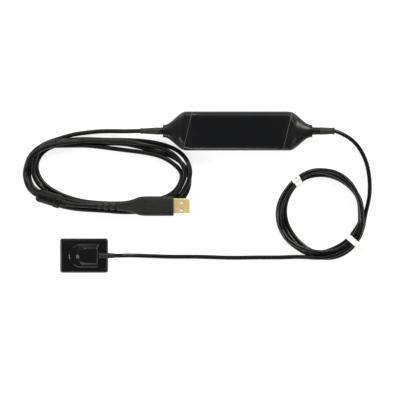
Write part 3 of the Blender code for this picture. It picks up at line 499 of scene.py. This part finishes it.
def smooth_line(route, step):
    """Evenly spaced points on the natural cubic spline through a route."""
    route = np.array(route, float)
    spans = np.linalg.norm(np.diff(route, axis=0), axis=1)
    knots = np.concatenate([[0.0], np.cumsum(spans)])
    count = len(route)
    matrix = np.eye(count)
    change = np.zeros_like(route)
    for k in range(1, count - 1):
        matrix[k, k - 1:k + 2] = spans[k - 1], 2 * (spans[k - 1] + spans[k]), spans[k]
        change[k] = 6 * ((route[k + 1] - route[k]) / spans[k]
                         - (route[k] - route[k - 1]) / spans[k - 1])
    bends = np.linalg.solve(matrix, change)
    at = np.linspace(0, knots[-1], round(knots[-1] / step) + 1)
    k = np.clip(np.searchsorted(knots, at, side="right") - 1, 0, count - 2)
    span = spans[k][:, None]
    left = (knots[k + 1] - at)[:, None]
    right = (at - knots[k])[:, None]
    return (bends[k] * left**3 / (6 * span) + bends[k + 1] * right**3 / (6 * span)
            + (route[k] / span - bends[k] * span / 6) * left
            + (route[k + 1] / span - bends[k + 1] * span / 6) * right)


def widened(values, reach):
    """Greatest value within reach of each, then twice averaged, so that it never falls short."""
    padded = np.pad(values, 3 * reach, mode="edge")
    windows = np.lib.stride_tricks.sliding_window_view(padded, 4 * reach + 1)
    highest = windows.max(axis=1)
    box = np.ones(reach + 1) / (reach + 1)
    return np.convolve(np.convolve(highest, box, "valid"), box, "valid")


def laid(line, radius, lift=None):
    """Lay a cord down in its own order: on the table, and over the strands that lie there."""
    apart_at_least = 2 * radius - CORD_PRESS
    floor = np.maximum(line[:, 2], radius)
    if lift is not None:
        floor = np.maximum(floor, radius + lift(line))
    apart = np.linalg.norm(line[:, None, :2] - line[None, :, :2], axis=2)
    order = np.arange(len(line))
    skip = round(CROSSING_APART * radius / CORD_STEP)
    over = (order[:, None] - order[None, :] > skip) & (apart < apart_at_least)
    rise = np.where(over, np.sqrt(np.maximum(apart_at_least**2 - apart**2, 0)), -np.inf)
    heights = floor
    for _ in range(LAYING_PASSES):
        needed = np.maximum(floor, (heights[None, :] + rise).max(axis=1))
        heights = floor + widened(needed - floor, HUMP_REACH)
    return np.column_stack([line[:, :2], heights])


def cord_piece(name, line, radius, material, replaces):
    """Round cord along a line, as one open spline."""
    curve = bpy.data.curves.new(name, "CURVE")
    curve.dimensions = "3D"
    curve.bevel_depth = radius * MM
    curve.bevel_resolution = 6
    curve.use_fill_caps = True
    curve.materials.append(material)
    spline = curve.splines.new("POLY")
    spline.points.add(len(line) - 1)
    for spot, point in zip(spline.points, line):
        spot.co = (*(float(value) * MM for value in point), 1.0)
    piece = bpy.data.objects.new(name, curve)
    bpy.context.scene.collection.objects.link(piece)
    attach(piece, "root")
    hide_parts(*replaces)
    return piece


def loop_place(index, offset):
    """Place beside the USB loop's middle line; positive offsets lie outside the loop."""
    count = len(USB_LOOP)
    x, y, _ = USB_LOOP[index % count]
    before, after = USB_LOOP[(index - 1) % count], USB_LOOP[(index + 1) % count]
    along = Vector((after[0] - before[0], after[1] - before[1])).normalized()
    return (x + along.y * offset, y - along.x * offset, USB_CORD_RADIUS)


def ferrite_axis(distance):
    """Place on the ferrite bead's axis, at a distance from its middle."""
    angle = math.radians(FERRITE_TURN)
    return (FERRITE_PLACE[0] + distance * math.cos(angle),
            FERRITE_PLACE[1] + distance * math.sin(angle), FERRITE_PLACE[2])


def usb_cord():
    """Out of the box, four times round the loop, through the ferrite bead and into the plug."""
    route = list(USB_LEAD)
    for turn in range(USB_TURNS):
        route += [loop_place(index, row[2][turn]) for index, row in enumerate(USB_LOOP)]
    route += [loop_place(index, offset) for index, offset in enumerate(USB_TAIL_OFFSETS)]
    route += USB_TAIL
    route += [ferrite_axis(distance) for distance in BEAD_STOPS]
    route += [(x, PLUG_PLACE[1] + beside, PLUG_PLACE[2]) for x, beside in PLUG_APPROACH]
    route.append((PLUG_PLACE[0] - CORD_IN_GRIP, *PLUG_PLACE[1:]))
    line = laid(smooth_line(route, CORD_STEP), USB_CORD_RADIUS)
    nodes = ("usb_cord_lead", "usb_cord_coil", "usb_cord_tail")
    return cord_piece("usb_cord", line, USB_CORD_RADIUS, JACKET, nodes), line


def round_coil(line, angle):
    """Radius about the coil's centre, and degrees away from an angle, of each of a line's points."""
    across = line[:, :2] - np.array(COIL_CENTRE)
    angles = np.degrees(np.arctan2(across[:, 1], across[:, 0]))
    return np.linalg.norm(across, axis=1), np.abs((angles - angle + 180) % 360 - 180)


def tie_lift(line):
    """How far the straps under the coil hold it off the table, along a line."""
    lift = np.zeros(len(line))
    for tie in TIE_ANGLES:
        radii, apart = round_coil(line, tie)
        near = np.exp(-((radii - COIL_MIDDLE) / COIL_BAND) ** 4)
        swell = 0.5 + 0.5 * np.cos(math.pi * np.minimum(apart, TIE_SPREAD) / TIE_SPREAD)
        lift = np.maximum(lift, TIE_LIFT * swell * near)
    return lift


def sensor_cord():
    """Out of the box, four times and a quarter round the coil, and along to the sensor head."""
    route = list(SENSOR_LEAD)
    for turn in range(len(COIL_LANES[0])):
        for index, radii in enumerate(COIL_LANES):
            if turn < len(radii):
                angle = -math.radians(COIL_STEP * index)
                route.append((COIL_CENTRE[0] + radii[turn] * math.cos(angle),
                              COIL_CENTRE[1] + radii[turn] * math.sin(angle), SENSOR_CORD_RADIUS))
    route += SENSOR_TAIL
    line = laid(smooth_line(route, CORD_STEP), SENSOR_CORD_RADIUS, tie_lift)
    nodes = ("sensor_cord_lead", "sensor_cord_coil", "sensor_cord_tail")
    return cord_piece("sensor_cord", line, SENSOR_CORD_RADIUS, THIN_JACKET, nodes), line


# Interface box

def box_half_sizes(x):
    """Half width and half height of the box at a place along it."""
    along = min(max((abs(x) - SHOULDER_X) / TAPER_LENGTH, 0.0), 1.0)
    left = 1 - along
    swell = 3 * left**2 - 2 * left**3
    return (COLLAR_RADIUS + (BOX_HALF_WIDTH - COLLAR_RADIUS) * swell,
            COLLAR_RADIUS + (BOX_HALF_HEIGHT - COLLAR_RADIUS) * swell)


def box_section(x, inset, steps):
    """Outline of the box across X: flat-topped in the sleeve, and oval towards a collar."""
    half_width, half_height = (half - inset for half in box_half_sizes(x))
    corner = min(BOX_CORNER - CORNER_DRAW * inset, ROUNDEST * half_height)
    flat_topped = rounded_rectangle(half_width, half_height, corner, steps)
    oval = rounded_rectangle(half_height, half_height, ROUNDEST * half_height, steps)
    share = min(max((abs(x) - SHOULDER_X) / CAP_ROUNDING, 0.0), 1.0)
    return [(y + (across * half_width / half_height - y) * share, z + (up - z) * share)
            for (y, z), (across, up) in zip(flat_topped, oval)]


def box_ring(seam_x, slant, inset=0.0, steps=12):
    """Outline of the box's skin, or of its inside, on a slanted plane."""
    ring = []
    for index in range(4 * (steps + 1)):
        y = 0.0
        for _ in range(6):      # x follows y and the section follows x: this closes in on both
            y, z = box_section(seam_x + slant * y, inset, steps)[index]
        ring.append((seam_x + slant * y, y, BOX_HALF_HEIGHT + z))
    return ring


def half_ring(seam_x, upper, inset=0.0):
    """Upper or lower half of a box outline, from one side to the other."""
    ring = box_ring(seam_x, SEAM_SLANT, inset)
    half = len(ring) // 2
    points = ring[:half] if upper else ring[half:]
    edge_z = BOX_HALF_HEIGHT + (HALVES_GAP / 2 if upper else -HALVES_GAP / 2)
    first, last = points[0], points[-1]
    return [(first[0], first[1], edge_z)] + points + [(last[0], last[1], edge_z)]


def case_half(name, upper, node):
    """One half of the box's sleeve, as a channel between the two slanted seams."""
    reach = SEAM_X - SEAM_GAP / 2
    ends = [(0.0, SEAM_EDGE), SEAM_BEVEL, (SEAM_EDGE, 0.0), (4.0, 0.0)]
    places = [(-reach + back, inset) for back, inset in ends]
    places += [(reach - back, inset) for back, inset in reversed(ends)]
    rings = []
    for seam_x, inset in places:
        rings.append(half_ring(seam_x, upper, inset) + half_ring(seam_x, upper, BOX_WALL)[::-1])
    return add_piece(name, loft(rings), CASE, (node,))


def interface_box():
    """Sleeve with its label, two end caps, two painted seam highlights and two strain reliefs."""
    top_z = 2 * BOX_HALF_HEIGHT
    top = case_half("case_top", True, "box_top_shell")
    pocket = [half + LABEL_PLAY for half in LABEL_HALF]
    combine(top, upright_block(pocket, LABEL_CORNER, [(top_z - LABEL_DEPTH, 0), (top_z + 1, 0)]))
    levels = rounded_levels(top_z - LABEL_DEPTH, top_z, LABEL_ROUNDING)
    film = upright_block(LABEL_HALF, LABEL_CORNER, levels)
    add_piece("label_film", film, GLOSS, ("label_plate",))
    bottom = case_half("case_bottom", False, "box_bottom_shell")
    for x, y in SCREW_PLACES:
        combine(bottom, turned(SCREW_WELL, "z", (x, y, 0), 32))
    for name, side, node in (("usb_cap", -1, "usb_end_cap"), ("sensor_cap", 1, "sensor_end_cap")):
        end_cap(name, side, node)
    # Pale strips in both seams, as painted highlight.
    painted_seam_highlight("usb_seam_highlight", -1)
    painted_seam_highlight("sensor_seam_highlight", 1)
    strain_relief("usb_relief", -1, "usb_strain_relief", base=3.1, tip=2.15, neck=3.2)
    strain_relief("sensor_relief", 1, "sensor_strain_relief", base=3.25, tip=2.55, neck=6.3)


def end_cap(name, side, node):
    """Hollow end cap: flares from a round collar to the slanted seam."""
    seam_x = SEAM_X + SEAM_GAP / 2
    end_x = SHOULDER_X + TAPER_LENGTH
    tongue = BOX_WALL + TONGUE_PLAY
    outer = [box_ring(side * (seam_x - TONGUE_LENGTH), SEAM_SLANT, tongue),
             box_ring(side * seam_x, SEAM_SLANT, tongue),
             box_ring(side * seam_x, SEAM_SLANT, SEAM_EDGE),
             box_ring(side * (seam_x + SEAM_BEVEL[0]), SEAM_SLANT, SEAM_BEVEL[1])]
    stations = 30
    for step in range(stations + 1):
        share = step / stations
        x = seam_x + SEAM_EDGE + (end_x - seam_x - SEAM_EDGE) * share
        outer.append(box_ring(side * x, SEAM_SLANT * (1 - share) ** 2))
    outer += [box_ring(side * (COLLAR_X - back), 0.0, inset) for back, inset in COLLAR_RIM]
    steps = len(outer[0]) // 4 - 1
    inner = []
    for back, radius in COLLAR_BORE:
        outline = rounded_rectangle(radius, radius, ROUND * radius, steps)
        inner.append([(side * (COLLAR_X - back), y, BOX_HALF_HEIGHT + z) for y, z in outline])
    bore_end = COLLAR_X - COLLAR_BORE[-1][0]
    for share in (1.0, 0.7, 0.35, 0.0):
        x = seam_x + (bore_end - seam_x) * share
        inner.append(box_ring(side * x, SEAM_SLANT * (1 - share) ** 2, tongue + CAP_WALL))
    inner.append(box_ring(side * (seam_x - TONGUE_LENGTH), SEAM_SLANT, tongue + CAP_WALL))
    add_piece(name, loft(outer + inner, closed=True), CAP, (node,))


def painted_seam_highlight(name, side):
    """Thin pale grey strip in the seam next to an end cap: a painted highlight of its edges."""
    near, far = SEAM_X - SEAM_GAP / 2, SEAM_X + SEAM_GAP / 2
    skin = SEAM_BEVEL[1]
    rings = [box_ring(side * x, SEAM_SLANT, inset)
             for x, inset in ((near, skin), (far, skin), (far, SEAM_STRIP_DEPTH), (near, SEAM_STRIP_DEPTH))]
    add_piece(name, loft(rings, closed=True), SEAM_HIGHLIGHT_PAINT)


def strain_relief(name, side, node, base, tip, neck):
    """Turned relief: a dark neck next to the collar, the tapered tail and a lip at its tip."""
    base_x = COLLAR_X + RELIEF_GAP
    tip_x = COLLAR_X + RELIEF_OFFSET + RELIEF_LENGTH
    neck_x = base_x + neck
    after_neck = base - (base - tip) / RELIEF_LENGTH * neck
    root, root_radius = RELIEF_ROOT
    profile = [(COLLAR_X - root, root_radius), (base_x, root_radius), (base_x, base - NECK_STEP),
               (neck_x - 0.5, after_neck - NECK_STEP), (neck_x, after_neck)]
    profile += [(tip_x - back, tip + rise) for back, rise in RELIEF_LIP]
    profile = [(side * x, radius) for x, radius in softened(profile, radius=0.3)]
    shape = turned(profile, centre=(0, 0, BOX_HALF_HEIGHT))
    piece = add_piece(name, shape, RUBBER, (node,))
    piece.data.materials.append(CAP)
    for face in piece.data.polygons:
        face.material_index = int(abs(face.center.x) < neck_x * MM)


# Sensor head

def bullet_ring(z, left, right, half_width, corner, steps=28, corner_steps=5):
    """Bullet outline: a flat wall at the right and a half ellipse at the left."""
    length = min(half_width * NOSE_STRETCH, right - left - corner)
    middle = left + length
    ring = []
    for side, start in ((-1, -90), (1, 0)):
        for step in range(corner_steps + 1):
            angle = math.radians(start + 90 * step / corner_steps)
            ring.append((right - corner + corner * math.cos(angle),
                         side * (half_width - corner) + corner * math.sin(angle), z))
    for step in range(steps + 1):
        angle = math.radians(90 + 180 * step / steps)
        ring.append((middle + length * math.cos(angle), half_width * math.sin(angle), z))
    return ring


# The head's hump from the plate up: height, left end, half width, how far the right end draws in.
HUMP_LEVELS = [(4.6, -12.9, 9.9, 0.0), (5.3, -12.7, 9.75, 0.0), (6.2, -12.3, 9.5, 0.05),
               (6.9, -11.7, 9.1, 0.12), (7.3, -10.9, 8.6, 0.2), (7.6, -9.6, 8.0, 0.3),
               (7.8, -7.8, 7.35, 0.4), (8.2, -6.3, 7.1, 0.45), (8.6, -5.5, 6.95, 0.55),
               (9.2, -4.9, 6.7, 0.75), (9.7, -4.3, 6.35, 1.1), (10.1, -3.4, 5.8, 1.7),
               (10.35, -2.2, 5.0, 2.4), (10.47, -0.8, 4.0, 3.1), (10.5, 0.6, 2.8, 4.0)]


def sensor_head():
    """Flat tray, cover with its hump, and the boot that the cord leaves the hump through."""
    tray = upright_block(HEAD_HALF, HEAD_CORNER, TRAY_LEVELS)
    add_piece("head_tray", moved(tray, HEAD_PLACE), HEAD_SKIN, ("head_front_shell",))
    levels = [COVER_EDGE, *rounded_levels(COVER_SIDE_Z, HEAD_PLATE_Z, COVER_ROUNDING, 8)]
    plate = upright_block(HEAD_HALF, HEAD_CORNER, levels)
    cover = add_piece("head_cover", moved(plate, HEAD_PLACE), HEAD_SKIN,
                      ("head_back_shell",))
    rings = [bullet_ring(z, left, HUMP_RIGHT - draw, half, HUMP_CORNER)
             for z, left, half, draw in HUMP_LEVELS]
    combine(cover, moved(loft(rings), HEAD_PLACE), "UNION")
    boot = turned(softened(BOOT_PROFILE), centre=(0, 0, BOOT_Z))
    add_piece("head_boot", moved(boot, HEAD_PLACE), GRIP, ("head_cable_boot",))


# USB plug

# Places along the plug are counted from the front face of its grip.
RIB_HALVES = (2.6, 3.0, 3.3)
RIB_START = -60.3
RIB_PITCH = 5.1
RIB_LENGTH = 3.6
SLOT_HALF = 1.5
SLOT_LENGTH = 1.4
# The grip's sections: place, half width, half height.
GRIP_SECTIONS = [(-45.0, 3.4, 3.1), (-44.6, 3.6, 3.2), (-42.0, 3.75, 3.25), (-39.0, 4.0, 3.3),
                 (-36.0, 4.4, 3.45), (-33.5, 4.95, 3.55), (-31.5, 5.6, 3.65), (-29.5, 6.4, 3.75),
                 (-27.5, 7.1, 3.8), (-25.5, 7.5, 3.88), (-23.0, 7.7, 3.9), (-20.0, 7.75, 3.9),
                 (-0.5, 7.75, 3.9), (-0.12, 7.65, 3.8), (0.0, 7.4, 3.6)]
GRIP_CORNER = 2.4
POCKET_PLAY = 0.1
POCKET_CORNER = 0.8
POCKET_BACK = -6.0
DIMPLE_PLACES = [(-22.4, y, 0) for y in (-2.95, 2.95)]
DIMPLE_PROFILE = [(3.35, 0.5), (3.6, 0.85), (4.5, 1.0)]             # height, radius
SHELL_WALL = 0.35
SHELL_CORNER = 0.7
SHELL_BEVEL = 0.12
SHELL_BACK = -5.7
LATCH_HOLE_PLACES = [(6.4, y) for y in (-3.05, 3.05)]
LATCH_HOLE_HALF = (1.3, 1.2)
LATCH_HOLE_CORNER = 0.25


def plug_ring(x, half_width, half_height, corner, steps=9):
    """Rounded rectangle across the plug's axis."""
    outline = rounded_rectangle(half_width, half_height,
                                min(corner, ROUND * min(half_width, half_height)), steps)
    return [(x, y, z) for y, z in outline]


def plug_rib(start, half):
    """Rings of one rib with rounded edges, and of the slot in front of it."""
    end = start + RIB_LENGTH
    slot = half - SLOT_HALF
    return [plug_ring(x, half - inset, half - inset, half)
            for x, inset in ((start, 0.5), (start + 0.15, 0.15), (start + 0.5, 0), (end - 0.4, 0),
                             (end - 0.1, 0.15), (end, 0.5), (end + 0.1, slot),
                             (end + SLOT_LENGTH, slot))]


def usb_plug():
    """Moulded grip with a ribbed relief behind it, a metal shell with latch holes, and dimples."""
    rings = []
    for number, half in enumerate(RIB_HALVES):
        rings += plug_rib(RIB_START + RIB_PITCH * number, half)
    rings += [plug_ring(*section, GRIP_CORNER) for section in GRIP_SECTIONS]
    pocket = [half + POCKET_PLAY for half in PLUG_SHELL_HALF]
    rings += [plug_ring(x, *pocket, POCKET_CORNER) for x in (0.0, POCKET_BACK)]
    grip = add_piece("plug_grip", moved(loft(rings), PLUG_PLACE), GRIP,
                     ("plug_overmold",))
    for place in DIMPLE_PLACES:
        combine(grip, moved(turned(DIMPLE_PROFILE, "z", place, 20), PLUG_PLACE))
    rings = []
    for x, inset, corner in ((SHELL_BACK, 0, SHELL_CORNER),
                             (PLUG_SHELL_LENGTH - SHELL_BEVEL, 0, SHELL_CORNER),
                             (PLUG_SHELL_LENGTH, SHELL_BEVEL, SHELL_CORNER - 0.1),
                             (PLUG_SHELL_LENGTH, SHELL_WALL, SHELL_CORNER - SHELL_WALL),
                             (SHELL_BACK, SHELL_WALL, SHELL_CORNER - SHELL_WALL)):
        rings.append(plug_ring(x, *(half - inset for half in PLUG_SHELL_HALF), corner))
    sleeve = add_piece("plug_sleeve", moved(loft(rings, closed=True), PLUG_PLACE), GOLD,
                       ("plug_shell",))
    for place in LATCH_HOLE_PLACES:
        hole = upright_block(LATCH_HOLE_HALF, LATCH_HOLE_CORNER, [(-4, 0), (4, 0)], place, 4)
        combine(sleeve, moved(hole, PLUG_PLACE))


# Ferrite bead

BEAD_BORE = USB_CORD_RADIUS + 0.03
# Distance along the axis from the middle of the ferrite core, radius.
BEAD_PROFILE = [(-10.0, BEAD_BORE), (-10.0, 3.4), (-9.5, 4.1), (-8.6, 4.8), (-7.8, 4.95),
                (4.6, 4.95), (5.0, 5.35), (5.6, 5.4), (8.8, 5.4), (9.5, 5.1), (10.0, 4.3),
                (10.1, 2.9), (13.6, 2.5), (14.2, 2.0), (14.2, BEAD_BORE)]


def ferrite_bead():
    """Moulded two-part bead: a long barrel, a wider ring and a short relief behind it."""
    shape = turned(softened(BEAD_PROFILE, radius=0.3), closed=True, steps=48)
    add_piece("ferrite_housing", moved(shape, FERRITE_PLACE, FERRITE_TURN), BEAD,
              ("ferrite_cover",))


# Cable ties

def tie_room(angle):
    """Inner and outer radius, bottom and top of the sensor coil's strands at an angle."""
    radii, apart = round_coil(SENSOR_LINE, angle)
    here = (apart < TIE_REACH) & (radii < COIL_REACH)
    heights = SENSOR_LINE[here, 2]
    grow = SENSOR_CORD_RADIUS + TIE_PLAY
    return (radii[here].min() - grow, radii[here].max() + grow,
            heights.min() - grow, heights.max() + grow)


def cable_tie(number, angle, width, lock_on_top):
    """Nylon strap round the coil, with its lock on top, or outside with the cut end."""
    direction = Vector((math.cos(math.radians(angle)), math.sin(math.radians(angle))))
    along = Vector((-direction.y, direction.x))
    centre = Vector(COIL_CENTRE)

    def place(radius, z, run=0.0):
        spot = centre + direction * radius + along * run
        return (spot.x, spot.y, z)

    inner, outer, bottom, top = tie_room(angle)
    middle, half = (inner + outer) / 2, (outer - inner) / 2
    mid_z, half_z = (bottom + top) / 2, (top - bottom) / 2
    rings = []
    for grow, run in TIE_SECTION:
        outline = rounded_rectangle(half + grow, half_z + grow, TIE_CORNER + grow)
        rings.append([place(middle + across, mid_z + up, run * width / 2)
                      for across, up in outline])
    name = f"tie_{number}_strap"
    strap = add_piece(name, loft(rings, closed=True), NYLON,
                      (f"cable_tie_{number}",))
    if lock_on_top:
        levels = rounded_levels(0, TOP_LOCK_HEIGHT, TOP_LOCK_ROUNDING)
        lock = upright_block(TOP_LOCK_HALF, LOCK_CORNER, levels)
        radius = outer - TOP_LOCK_INWARD
        combine(strap, moved(lock, place(radius, top + TOP_LOCK_BASE), angle), "UNION")
        slot = upright_block(LOCK_SLOT_HALF, LOCK_SLOT_CORNER, [(0, 0), (3, 0)])
        combine(strap, moved(slot, place(radius, top + LOCK_SLOT_BASE), angle))
    else:
        lock = upright_block((SIDE_LOCK_DEPTH, width / 2), LOCK_CORNER, SIDE_LOCK_LEVELS)
        radius = outer + TIE_STRAP + SIDE_LOCK_OUTWARD
        combine(strap, moved(lock, place(radius, mid_z), angle), "UNION")
        stub = upright_block(CUT_END_HALF, CUT_END_CORNER, CUT_END_LEVELS)
        radius = outer + TIE_STRAP + CUT_END_OUTWARD
        combine(strap, moved(stub, place(radius, mid_z), angle), "UNION")
    return name


# Pieces carried over from the CAD

# Slot, material and nodes of the parts that keep their CAD shape.
CARRIED_OVER = {
    "board_green": (BOARD, ("main_circuit_board", "head_circuit_board")),
    "chip_black": (CHIP, ("usb_controller_chip", "processor_chip", "memory_chip")),
    "steel": (STEEL, ("clock_crystal", "converter_shield", "capacitor_1", "capacitor_2",
                      "capacitor_3", "usb_crimp_ring", "sensor_crimp_ring", "box_screw_1",
                      "box_screw_2", "box_screw_3", "box_screw_4")),
    "insulator_cream": (CREAM, ("usb_header", "sensor_header", "head_connector",
                                "plug_insulator")),
    "cord_jacket": (JACKET, ("usb_wires", "sensor_wires", "head_wires")),
    "phosphor": (PHOSPHOR, ("scintillator_screen",)),
    "glass": (GLASS, ("fiber_optic_plate",)),
    "silicon": (SILICON, ("image_sensor_chip",)),
    "gold_plate": (GOLD, ("plug_contact_1", "plug_contact_2", "plug_contact_3",
                          "plug_contact_4")),
    "ferrite": (FERRITE, ("ferrite_core",))}


def dress_carried_over():
    """Give the parts that keep their CAD shape their materials."""
    for slot, (material, names) in CARRIED_OVER.items():
        for name in names:
            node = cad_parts[name]
            for place in node.material_slots:
                place.material = material


# View, light and floor

def camera():
    """Camera straight above the middle of the view."""
    data = bpy.data.cameras.new("camera")
    data.sensor_width = CAMERA_SENSOR
    data.lens = CAMERA_SENSOR * VIEW_HEIGHT / VIEW_WIDTH
    data.clip_end = CLIP_END
    item = bpy.data.objects.new("camera", data)
    item.location = (VIEW_CENTRE[0] * MM, VIEW_CENTRE[1] * MM, VIEW_HEIGHT * MM)
    bpy.context.scene.collection.objects.link(item)
    bpy.context.scene.camera = item


def soft_light(name, place, size, radiance, colour):
    """Rectangular studio light, in metres, that faces the middle of the view."""
    data = bpy.data.lights.new(name, "AREA")
    data.shape = "RECTANGLE"
    data.size, data.size_y = size
    data.energy = radiance * math.pi * size[0] * size[1]
    data.color = colour
    item = bpy.data.objects.new(name, data)
    item.location = place
    aim = Vector((VIEW_CENTRE[0] * MM, VIEW_CENTRE[1] * MM, 0)) - Vector(place)
    item.rotation_euler = aim.to_track_quat("-Z", "Y").to_euler()
    item.visible_camera = False
    bpy.context.scene.collection.objects.link(item)


def studio():
    """Lights, and an even white sky."""
    for light in LIGHTS:
        soft_light(*light)
    world = bpy.data.worlds.new("studio")
    world.use_nodes = True
    background = world.node_tree.nodes["Background"]
    background.inputs["Color"].default_value = (*WHITE, 1)
    background.inputs["Strength"].default_value = SKY_STRENGTH
    bpy.context.scene.world = world
    bpy.context.scene.view_settings.view_transform = "Standard"


def pale_floor():
    """Plain white sweep that is itself softly lit, as on a light table."""
    shape = bmesh.new()
    bmesh.ops.create_grid(shape, x_segments=2, y_segments=2, size=FLOOR_HALF)
    mesh = bpy.data.meshes.new("floor")
    shape.to_mesh(mesh)
    shape.free()
    material, nodes, links, shader = material_nodes("pale_floor")
    dark, light = ((tone, tone, tone, 1) for tone in FLOOR_TONES)
    colour = mixed(nodes, links, noise(nodes, links, FLOOR_MOTTLE), dark, light)
    links.new(colour, shader.inputs["Base Color"])
    shader.inputs["Roughness"].default_value = 0.9
    shader.inputs["Specular IOR Level"].default_value = 0.0
    shader.inputs["Emission Color"].default_value = (*WHITE, 1)
    shader.inputs["Emission Strength"].default_value = FLOOR_GLOW
    mesh.materials.append(material)
    floor = bpy.data.objects.new("floor", mesh)
    floor.location.z = -FLOOR_DROP * MM
    bpy.context.scene.collection.objects.link(floor)


camera()
studio()
pale_floor()
usb_piece, USB_LINE = usb_cord()
sensor_piece, SENSOR_LINE = sensor_cord()
interface_box()
sensor_head()
usb_plug()
ferrite_bead()
ties = [cable_tie(1, TIE_ANGLES[0], TIE_WIDTHS[0], lock_on_top=True),
        cable_tie(2, TIE_ANGLES[1], TIE_WIDTHS[1], lock_on_top=False)]
dress_carried_over()
